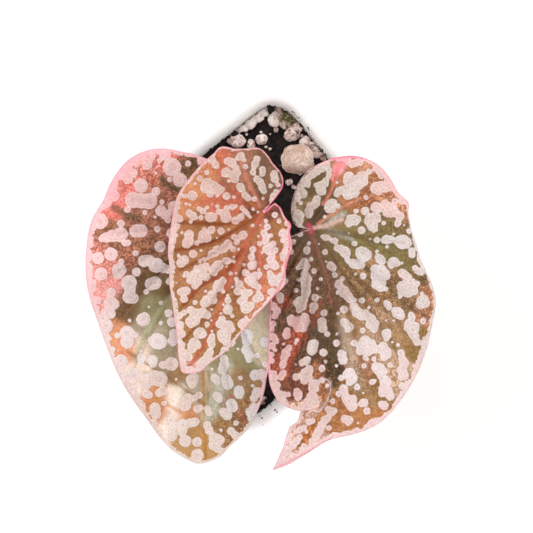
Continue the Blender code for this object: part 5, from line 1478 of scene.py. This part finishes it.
# Right blade: olive, with rows of spots between the veins, its lower end torn beside the midrib.
RIGHT_BLADE.update(seed=33, vein_depth=0.22, frill=0.4, shaded=[(0.0, (350, 250))])
RIGHT_BLADE["spots"] = [
    (326, 165, 4), (322, 168, 4.3), (317, 171, 4.3), (313, 174, 4), (309, 177, 3.4), (305, 180, 3),
    (303, 183, 3.5), (307, 183, 3.5), (300, 187, 3), (308, 185, 2.5), (297, 190, 2.5), (329, 170, 3),
    (329, 175, 2.8), (328, 178, 2), (325, 183, 4), (321, 186, 4.5), (316, 185, 2.4), (322, 191, 4.4),
    (319, 190, 3.4), (326, 180, 2.8), (302, 193, 5), (299, 194, 4.5), (304, 195, 3), (297, 198, 3.5),
    (293.5, 203, 2.4), (294, 208, 2.8), (301, 203, 2.1), (298, 214, 4.4), (301, 216, 3.4), (297, 218, 4),
    (300, 221, 3.4), (299, 225, 3.4), (302, 228.5, 2), (300, 234, 2.7), (317, 199, 3.8), (316, 203, 4.2),
    (314, 206, 3), (310, 206, 3.8), (309, 211, 4.4), (309, 215, 3.3), (331, 205, 5.8), (333, 202, 3.4),
    (329, 208, 4.8), (338, 206, 2.6), (332, 209, 3.8), (325, 217, 1.8), (337, 182.5, 1.4), (349, 177, 5.4),
    (347, 181, 4.3), (356, 181, 5.3), (362, 177, 5.8), (363, 181, 5.3), (352, 186, 6), (358, 185, 5),
    (352, 192, 6), (346, 191, 5), (339, 191, 4), (337, 194, 3.4), (348, 195, 4.8), (355, 193, 4.3),
    (343, 189, 3), (356, 211, 2.4), (365, 211, 4.2), (351, 219, 4.8), (355, 220, 5.4), (349, 223, 4.3),
    (358, 219, 3.3), (361.5, 230.5, 3.8), (371, 219, 5.8), (376, 218, 5.3), (372, 225, 5.5),
    (374, 229, 3.8), (368, 221, 4), (325.5, 237.5, 3.2), (328, 238, 2.8), (322, 236.5, 1.8),
    (335, 241, 3.4), (332, 240.5, 2.2), (354.5, 243.5, 2.9), (309, 243.5, 1.8), (355, 163, 4),
    (360, 162, 3.5), (352, 165, 3), (349, 162, 3.4), (369, 171.5, 3), (376, 169, 3), (380, 172, 4),
    (381, 176, 3), (385, 174, 3), (376, 187, 5.4), (381, 187, 5.8), (378, 191, 4.3), (374, 190, 3.4),
    (386, 188, 4.6), (390, 186, 3.6), (366, 197.5, 2.3), (376, 206, 4.4), (379, 209, 3.8), (374, 208, 3.4),
    (385, 204, 4.4), (388, 206, 4.4), (387, 212.5, 4.4), (390, 214, 3.8), (394, 209, 4.2), (396, 213, 4.2),
    (400, 216, 4.3), (395, 201, 3.2), (402, 201, 3.6), (397.5, 223.5, 3.3), (399, 219, 2.8),
    (384, 223, 2.3), (404, 225, 1), (409, 231.5, 2.5), (394, 234, 1.3), (377, 240, 3.2), (370, 239, 1.2),
    (387, 239.5, 4.4), (391, 239.5, 3.6), (384, 240, 3.3), (403, 242, 7.3), (407, 243, 4.8),
    (398, 241, 4.4), (387, 247, 1.7), (377, 251.5, 1.9), (349, 233, 0.9), (307, 249.5, 3.5),
    (307, 252, 2.8), (319, 244, 1.1), (325, 252, 2.8), (345, 252, 5.6), (341, 249, 4.3), (337, 248, 3.3),
    (347, 254, 3.3), (347, 259.5, 2.8), (350, 262, 3.3), (354, 264, 5), (357, 265, 4.4), (362, 265.5, 3.2),
    (363, 254, 6.8), (361, 252, 5.5), (366, 255, 5.8), (363, 258, 4.4), (380, 259, 4.6), (382, 261, 3.6),
    (378, 257, 3.2), (393, 262, 5), (397, 263, 3.6), (391, 265, 3.6), (402, 263, 1.5), (412, 251, 3.5),
    (412, 255, 3.2), (376, 270, 5.6), (381, 271, 6.4), (385, 275, 5.4), (376, 276, 5.4), (379, 277, 5),
    (377, 283, 5.4), (380, 287, 4.8), (375, 285, 3.6), (384, 283, 2.4), (386, 289, 2.4), (363, 276, 3.2),
    (355.5, 274, 1.6), (402, 273, 4.2), (405, 275, 4.5), (409, 278, 3.4), (413, 281, 2.4), (417, 284, 3),
    (415, 268, 3), (418, 271, 3.5), (421, 273, 2.6), (405, 286, 5.4), (402, 287, 5.4), (411, 288, 5.8),
    (408, 292, 5.6), (414, 291, 4.2), (401, 293, 3.4), (400, 297, 2), (422, 293.5, 1.8), (423, 301, 6),
    (421, 304, 5.2), (426, 303, 4), (311, 259, 2.2), (304, 264, 4.8), (306, 266, 4.3), (301, 266, 3.3),
    (298, 268, 2.2), (305, 261, 3.2), (326, 261.5, 1.1), (331, 265, 3.6), (333, 268, 3.6), (330, 266, 3.2),
    (335, 275, 2.7), (314, 271, 2.7), (342.5, 278.5, 2.4), (305, 274, 4.2), (307, 279, 5), (303, 280, 3.4),
    (306, 286, 5), (306, 292, 5), (305, 296, 3.8), (298, 280, 1.7), (321, 279, 1.9), (339, 283, 3.3),
    (341, 287, 3.6), (345, 291, 4.6), (343, 294, 3.4), (348, 296, 4.8), (350, 299, 4), (354, 300, 2.4),
    (337, 285, 2.6), (338, 292.5, 2.2), (296, 290.5, 2.3), (317.5, 288.5, 1.6), (315, 297.5, 3.7),
    (321, 297.5, 1.1), (300, 302, 5.3), (302, 306, 4.8), (297, 303, 3.8), (304, 300, 3.8), (299, 310, 3.2),
    (314, 306.5, 4.3), (312, 311, 2.8), (344, 309.5, 3.9), (338, 313.5, 1.8), (354, 307, 4.2),
    (357, 312, 5.6), (362, 315, 5.6), (366, 314, 4.2), (371, 319, 5.2), (374, 324, 5.2), (370, 325, 4.4),
    (374, 329, 4), (362, 300.5, 3), (377, 300, 2.5), (369, 307.5, 1.7), (388, 305, 3.8), (386, 303, 2.6),
    (389, 308, 2.6), (398, 313, 5.9), (395, 311, 3.8), (401, 316, 3.8), (411, 315, 3.2), (412, 318, 3.4),
    (394, 320.5, 1.5), (386, 320.5, 0.9), (423, 321, 3), (410, 324, 5.4), (413, 330, 6), (408, 327, 4.4),
    (415, 337, 4.4), (417, 342, 3.8), (412, 334, 3.8), (416, 326, 3.6), (392.5, 342, 1.2), (398, 345, 1.9),
    (345, 323, 4.6), (349, 327, 4.6), (343, 321, 2.8), (347, 330, 2.4), (362.5, 330.5, 2.9),
    (387, 335, 4.4), (385, 333, 3.6), (386, 339, 2.6), (388, 332, 3.2), (365, 341, 5.5), (370, 345, 6.4),
    (363, 346, 5.6), (360, 351, 4.2), (368, 351, 5.2), (375, 349, 4.6), (354, 343, 3.3), (357, 345, 2),
    (383, 347, 5), (386, 353, 5.8), (384, 357, 3.8), (380, 350, 3.6), (342, 355, 4.6), (343, 360, 4.6),
    (341, 353, 3.2), (365, 358, 2.4), (367, 359, 1.8), (374, 359, 2.5), (336.5, 343, 3.5), (337, 334, 1.4),
    (336.5, 365.5, 1.5), (364, 366, 2.6), (379, 369, 6), (376, 367, 4.6), (383, 372, 4.6), (381, 376, 3.6),
    (385, 381, 5.2), (388, 382, 3.6), (384, 389, 5.6), (387, 391, 5.4), (382, 393, 4), (390, 396, 4.4),
    (390, 365, 2.6), (401, 353, 3.6), (402, 358, 3.6), (404, 363, 5), (402, 370, 5), (404, 375, 5),
    (401, 377, 3.4), (402, 386, 3.5), (372, 382, 3), (374, 381, 2.2), (350, 373, 5.4), (352, 378, 5.6),
    (347, 375, 4.6), (350, 382, 3.8), (341, 378, 3), (343.5, 389, 4.6), (345, 393, 2.8), (338.5, 394, 3),
    (357, 387, 3), (363, 393, 1.2), (349, 401, 6), (352, 406, 5.5), (346, 398, 4.6), (353, 399, 4.2),
    (364, 402.5, 4.4), (361, 404, 3), (384, 405.5, 4.6), (381, 404, 3), (367, 411, 3.6), (345, 419, 4.2),
    (349, 420, 4.4), (348, 423, 2.8), (358, 423, 1.2), (324, 313, 3.4), (322, 322, 4.6), (322.5, 328, 4.8),
    (291.5, 319.5, 4.6), (292, 322, 4.3), (296, 323, 3.6), (305, 317, 4.2), (306, 321, 4.2),
    (302, 325, 5.6), (298, 328, 4.3), (304, 329, 3.2), (299, 320, 3.8), (287, 331, 3.4), (286.5, 335, 4.2),
    (283.5, 344, 1.4), (297, 340, 2.1), (295.5, 343, 1.7), (289, 348, 3.3), (286, 353, 4.6),
    (284, 358, 3.8), (283, 364, 3.6), (282, 367, 2.2), (313, 345, 5.3), (312, 350, 5.2), (315, 343, 3.6),
    (323.5, 352.5, 3.9), (327.5, 334, 2.8), (306, 361, 4.2), (302, 363, 3.3), (308, 359, 2.6),
    (325.5, 361.5, 1.8), (322, 368.5, 3.6), (295.5, 364.5, 1.3), (306, 374, 6), (309, 370, 4.6),
    (304, 381, 3.6), (309, 378, 4), (296, 377, 3.6), (300, 376, 2.8), (283, 373.5, 3.6), (281, 377, 3.3),
    (273, 374, 3.6), (275, 378, 3.2), (277, 385, 3.8), (276, 390, 3.8), (279, 394, 4.2), (284, 395, 3.3),
    (288, 394.5, 2.8), (283, 401, 4.2), (286, 405, 3.2), (298, 394.5, 4.6), (297, 391, 3.2),
    (298, 398, 3.2), (312, 397, 5.8), (309, 403, 6), (314, 402, 5), (306, 407, 3), (300, 407, 2.6),
    (313, 385, 4.6), (316, 383, 3.6), (311, 389, 2.8), (316, 389, 3), (322, 380, 3), (327, 385.5, 2.1),
    (332.5, 401, 2.7), (331, 412, 4.4), (334, 411, 3.4), (328, 409, 3.2), (309, 422, 3.4), (313, 421, 2.4),
    (304, 428, 3), (300, 430, 3.2), (296, 432, 2.2), (325, 420, 4.2), (328, 418, 3.2), (322, 425, 4.2),
    (319, 431, 4.6), (316, 436, 4), (312, 441, 3.4), (329, 428, 2.7), (307, 432, 1.7), (300, 437, 2.6),
    (297, 441, 3.6), (293, 445, 4), (304, 446, 2.8), (301, 449, 2.4), (313, 447.5, 2.8), (318, 444.5, 2.4),
    (273, 306, 4), (277, 311, 4.2), (275, 316, 3.2), (273, 324, 3.2), (272, 329, 2.4), (273, 337, 4),
    (276, 341, 3.2), (272, 346, 3.2), (275, 350, 2.2), (271, 355, 3.2), (272, 361, 2.6), (280, 296, 3.8),
    (280.5, 300, 3.4), (284.5, 281, 3.4), (282, 285, 2.2), (293, 242, 2.8), (291, 252, 3),
]
RIGHT_BLADE["washes"] = [
    ("#7c6e42", 9, (345, 245), (375, 240), (388, 230), (392, 250), (405, 257), (352, 234)),
    ("#624e2c", 7, (314, 193), (304, 190), (325, 258), (314, 264)),
    ("#8c7450", 8, (366, 228), (400, 230), (340, 226), (306, 206)),
    # Painted shade: dark brown beside the hub and on the lower midrib.
    ("#3c2810", 7, (316, 214), (331, 372)),
    ("#584430", 7, (332, 350), (318, 334), (331, 330), (315, 250), (300, 240)),
    ("#ac7452", 7, (352, 170), (368, 190), (362, 203), (372, 180), (318, 376)),
    ("#d09a7c", 7, (366, 166), (392, 193), (400, 208), (427, 311)),
    ("#6a4e38", 8, (292, 282), (286, 312), (300, 352), (328, 284), (298, 262), (335, 300)),
    ("#7e4a32", 6, (290, 370), (279, 346), (300, 386), (311, 317)),
    ("#b25a44", 5, (299, 336), (283, 304), (291, 347), (279, 362)),
    ("#927452", 8, (352, 280), (395, 276), (400, 305), (370, 288)),
    ("#a98662", 9, (368, 264), (384, 300), (388, 297), (388, 326), (396, 336), (352, 318)),
    ("#b29478", 8, (352, 350), (378, 335), (385, 316)),
    ("#cfb096", 8, (392, 362), (396, 380)),
    ("#bb8a68", 7, (360, 365), (364, 373)),
    ("#947444", 5, (412, 350), (423, 337)),
    ("#b87f52", 8, (358, 414), (335, 420), (342, 410), (372, 414)),
    ("#a07a4c", 8, (375, 396), (366, 400), (352, 390), (372, 384)),
    ("#c8845c", 5, (308, 432), (304, 438)),
    ("#eac4b6", 6, (318, 440), (311, 413), (300, 418), (288, 442), (280, 455)),
]
RIGHT_BLADE["strokes"] = [
    # Painted sheen: a grey shine to the right of the midrib.
    ("#b0a294", 3.6, 6.0, 0.65, False, (340, 320), (346, 342), (352, 362), (358, 388)),
    # Painted sheen: grey-blue shine near the hub.
    ("#b8b6b0", 2.2, 3.0, 0.65, False, (325, 227), (334, 220), (343, 214)),
    ("#aaaaa4", 1.8, 3.4, 0.65, False, (330, 231), (341, 234), (352, 239)),
    ("#f4a6b0", 5.0, 3.0, 0.9, True, (344, 157), (341, 163), (338, 169)),
    ("#e88a8c", 2.6, 2.0, 0.9, True, (340, 164), (336, 173), (334, 179)),
    ("#e8587a", 1.2, 1.2, 0.9, True, (334, 159), (341, 157), (350, 156.5), (362, 158)),
    ("#c87462", 1.3, 1.4, 0.85, False, (336, 174), (333, 186), (328, 197), (323, 204)),
    ("#d8987c", 1.4, 1.2, 0.85, False, (318, 224), (332, 214), (346, 205), (362, 199), (394, 192)),
    ("#e0bdb4", 1.6, 1.6, 0.9, False, (314, 228), (328, 225), (342, 220)),
    ("#5a5228", 1.5, 2.0, 0.6, False, (322, 231), (340, 233), (370, 240), (408, 250)),
    ("#625228", 1.5, 2.0, 0.6, False, (324, 238), (342, 251), (376, 276), (400, 299), (428, 318)),
    ("#66542c", 1.5, 2.0, 0.6, False, (322, 243), (337, 266), (356, 290), (376, 318), (396, 350),
     (410, 380)),
    ("#b89a80", 1.3, 1.6, 0.6, False, (334, 322), (346, 340), (358, 362), (368, 388), (374, 408)),
    ("#c05a42", 2.6, 3.0, 0.7, False, (306, 322), (300, 340), (290, 360), (283, 378)),
    ("#9c4a3a", 1.0, 1.4, 0.7, False, (322, 300), (314, 312), (306, 324)),
    ("#8a4a38", 1.1, 1.4, 0.7, False, (312, 238), (311, 262), (304, 296), (294, 320)),
    ("#6e3c2c", 1.0, 1.5, 0.6, False, (314, 240), (319, 268), (312, 300), (300, 350), (290, 392)),
    # Painted shade: a dark band down the lower midrib.
    ("#54401f", 3.6, 4.0, 0.85, False, (331.5, 306), (333.5, 323), (331.5, 340), (330, 356), (333, 382)),
    ("#8f5c4c", 0.9, 1.2, 0.85, False, (313, 238), (317, 247), (320, 258), (324, 268), (328, 282),
     (331.5, 306)),
    ("#bd7a3e", 2.2, 1.4, 0.9, False, (321, 414), (313, 427), (306, 438), (298, 448)),
    ("#cc4866", 2.0, 2.2, 0.9, True, (308, 225), (310, 228), (311, 232)),
    # Painted shade: a dark line where the lobe's edge slips under the middle blade.
    ("#8a2430", 0.9, 0.9, 0.9, True, (292, 222), (297, 229), (304, 231)),
    # Partly painted sheen: a greyish pink line along the flap's fold, with its shine painted in.
    ("#c0a69c", 1.4, 1.8, 0.7, False, (330, 380), (330, 392), (326, 402), (319, 410)),
    ("#7a2a34", 0.7, 0.9, 0.7, True, (301, 180), (295, 192), (291, 206), (291, 220)),
    ("#ec8ea0", 0.5, 0.9, 0.7, True, (330, 439), (312, 449), (290, 461), (273, 469)),
]
RIGHT_BLADE["tints"] = [
    ("#d6c8bc", 16, (315, 175), (300, 190), (320, 190), (298, 220)),
    # Painted shade: duller spots near the hub and along the midrib.
    ("#bfa69c", 9, (312, 208), (331, 266), (324, 312)),
    ("#e0d4cc", 18, (332, 205), (355, 182), (372, 222), (353, 220), (345, 250)),
    ("#efcdc6", 14, (380, 188), (386, 208), (355, 163), (400, 202), (405, 276)),
    ("#e6deda", 20, (365, 255), (400, 242), (380, 275), (406, 290), (418, 270)),
    # Painted shade: duller spots on the left half and along the midrib.
    ("#cdb8ae", 14, (305, 262), (307, 285), (300, 303), (345, 292), (328, 238), (322, 325)),
    ("#e8dad4", 18, (360, 315), (372, 326), (412, 330), (423, 302), (313, 348), (345, 325)),
    ("#f6e8e6", 18, (398, 313), (385, 352), (380, 370), (366, 345), (385, 390), (350, 378)),
    ("#e6b6b2", 11, (300, 324), (287, 333), (286, 355), (282, 375), (275, 320), (275, 345), (298, 394)),
    ("#e2c8c0", 14, (306, 370), (312, 400), (280, 395), (331, 412)),
    ("#f4dad4", 16, (403, 368), (384, 405), (350, 405), (347, 420), (320, 430), (300, 440)),
    ("#fbdfe1", 14, (278, 462), (290, 455), (340, 436), (375, 420)),
]
RIGHT_BLADE["band"] = [
    (292, 210, 0.2), (298, 186, 0.2), (311, 169, 0.2), (330, 160, 0.6), (343, 157, 1.6), (360, 157, 0.9),
    (375, 164, 1.6), (387, 175, 2), (395, 187, 1.8), (405, 199, 1.6), (408, 210, 0.4), (411, 228, 0.3),
    (416, 248, 0.6), (420, 266, 1), (426, 284, 0.7), (433, 298, 0.7), (434, 312, 0.9), (431, 330, 1.2),
    (427, 348, 2.2), (420, 365, 2.2), (410, 385, 1.9), (398, 401, 1.6), (390, 411, 1.2), (377, 425, 2.2),
    (360, 432, 1.8), (343, 436, 1.6), (328, 440, 1.8), (312, 450, 2.2), (295, 460, 4), (276, 468, 6),
    (280, 455, 3.6), (287, 438, 1.6), (295, 427, 0.8), (270, 385, 1.4), (269, 360, 0.6), (269, 330, 0.5),
    (276, 398, 1.6), (290, 409, 1), (330, 390, 0.15), (326, 404, 0.3), (300, 411, 0.8),
]
RIGHT_BLADE["blush"] = [
    (1.0, (345, 157), (362, 158)),
    (0.75, (375, 163), (390, 180), (407, 205), (269, 320), (269, 350)),
    (0.5, (270, 388), (335, 438), (312, 449), (290, 461)),
    (0.25, (290, 409), (288, 435), (360, 431), (392, 410), (276, 469)),
    (0.1, (330, 390), (433, 300), (411, 228), (420, 266), (432, 330), (422, 362), (412, 385), (300, 186)),
]
RIGHT_BLADE["flecks"] = [
    (1.0, (285, 368), (300, 386), (315, 360), (300, 312), (350, 172), (382, 198), (395, 222), (412, 310)),
    (0.9, (368, 374), (334, 400), (355, 285), (388, 300), (280, 300), (320, 300)),
    (0.3, (385, 240), (345, 240), (345, 335), (331, 320), (398, 335), (360, 410), (310, 195)),
    (0.0, (338, 160), (338, 168), (335, 178)),
]

middle_cover = cover_outline(MIDDLE_BLADE)
for blade, covers, slot, *skin in (
    (LEFT_BLADE, middle_cover + cover_outline(RIGHT_BLADE), "blade_rose",
     "rose and olive leaf skin", "#9c6a4c", 0.25, 4.0, 0.40, "#f08aa4"),
    (MIDDLE_BLADE, [], "blade_terracotta", "terracotta leaf skin", "#a85a3e", 0.2, 1.0, 0.25, "#e0557c"),
    (RIGHT_BLADE, middle_cover, "blade_olive", "olive leaf skin", "#7a5238", 0.25, 2.0, 0.35, "#e0607f"),
):
    leaf = add_piece(finish_blade(blade, covers), blade_top(*skin), blade_under())
    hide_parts(blade["name"])
    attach(leaf, "root")

# Floor, light and camera
# A plain white floor under soft light from all round, a little stronger from the left, seen from straight
# above the plant. Places of lights are in the plant's directions, in metres.

FLOOR_REACH = 3.0
FLOOR_DROP = 0.0002
SENSOR_WIDTH = 36.0
ROOM_LIGHT = 1.12
LIGHT_AIM = Vector((0.0, 0.0, 0.12))

floor_mesh = bpy.data.meshes.new("floor")
floor_mesh.from_pydata([(x * FLOOR_REACH, y * FLOOR_REACH, -FLOOR_DROP)
                        for x, y in ((-1, -1), (1, -1), (1, 1), (-1, 1))], [], [(0, 1, 2, 3)])
floor = add_piece(floor_mesh, new_surface(
    "plain white floor", (), Roughness=0.9, Specular_IOR_Level=0.0, Base_Color=linear("#ededeb"))[0])

world = bpy.data.worlds.new("soft white room")
world.use_nodes = True
world.node_tree.nodes["Background"].inputs["Color"].default_value = (1.0, 1.0, 1.0, 1.0)
world.node_tree.nodes["Background"].inputs["Strength"].default_value = ROOM_LIGHT
bpy.context.scene.world = world

for name, across, along, height, size, watts in (
    ("soft light from the left", -0.95, 0.30, 0.95, 0.7, 4.5),
    ("weak fill from the right", 0.95, 0.35, 0.75, 0.8, 3.1),
):
    light = bpy.data.lights.new(name, "AREA")
    light.size = size
    light.energy = watts
    lamp = bpy.data.objects.new(name, light)
    lamp.location = (*in_pot(across, along), height)
    lamp.rotation_euler = (LIGHT_AIM - lamp.location).to_track_quat("-Z", "Y").to_euler()
    bpy.context.scene.collection.objects.link(lamp)

camera = bpy.data.cameras.new("camera")
camera.sensor_width = SENSOR_WIDTH
camera.lens = FOCAL_PIXELS / IMAGE_SIDE * SENSOR_WIDTH
camera_object = bpy.data.objects.new("camera", camera)
camera_object.location = Vector((*in_pot(*CAMERA_PLACE[:2]), CAMERA_PLACE[2])) * MM
camera_object.rotation_euler = (0.0, 0.0, PLANT_TURN)
bpy.context.scene.collection.objects.link(camera_object)
bpy.context.scene.camera = camera_object
bpy.context.scene.view_settings.view_transform = "Standard"
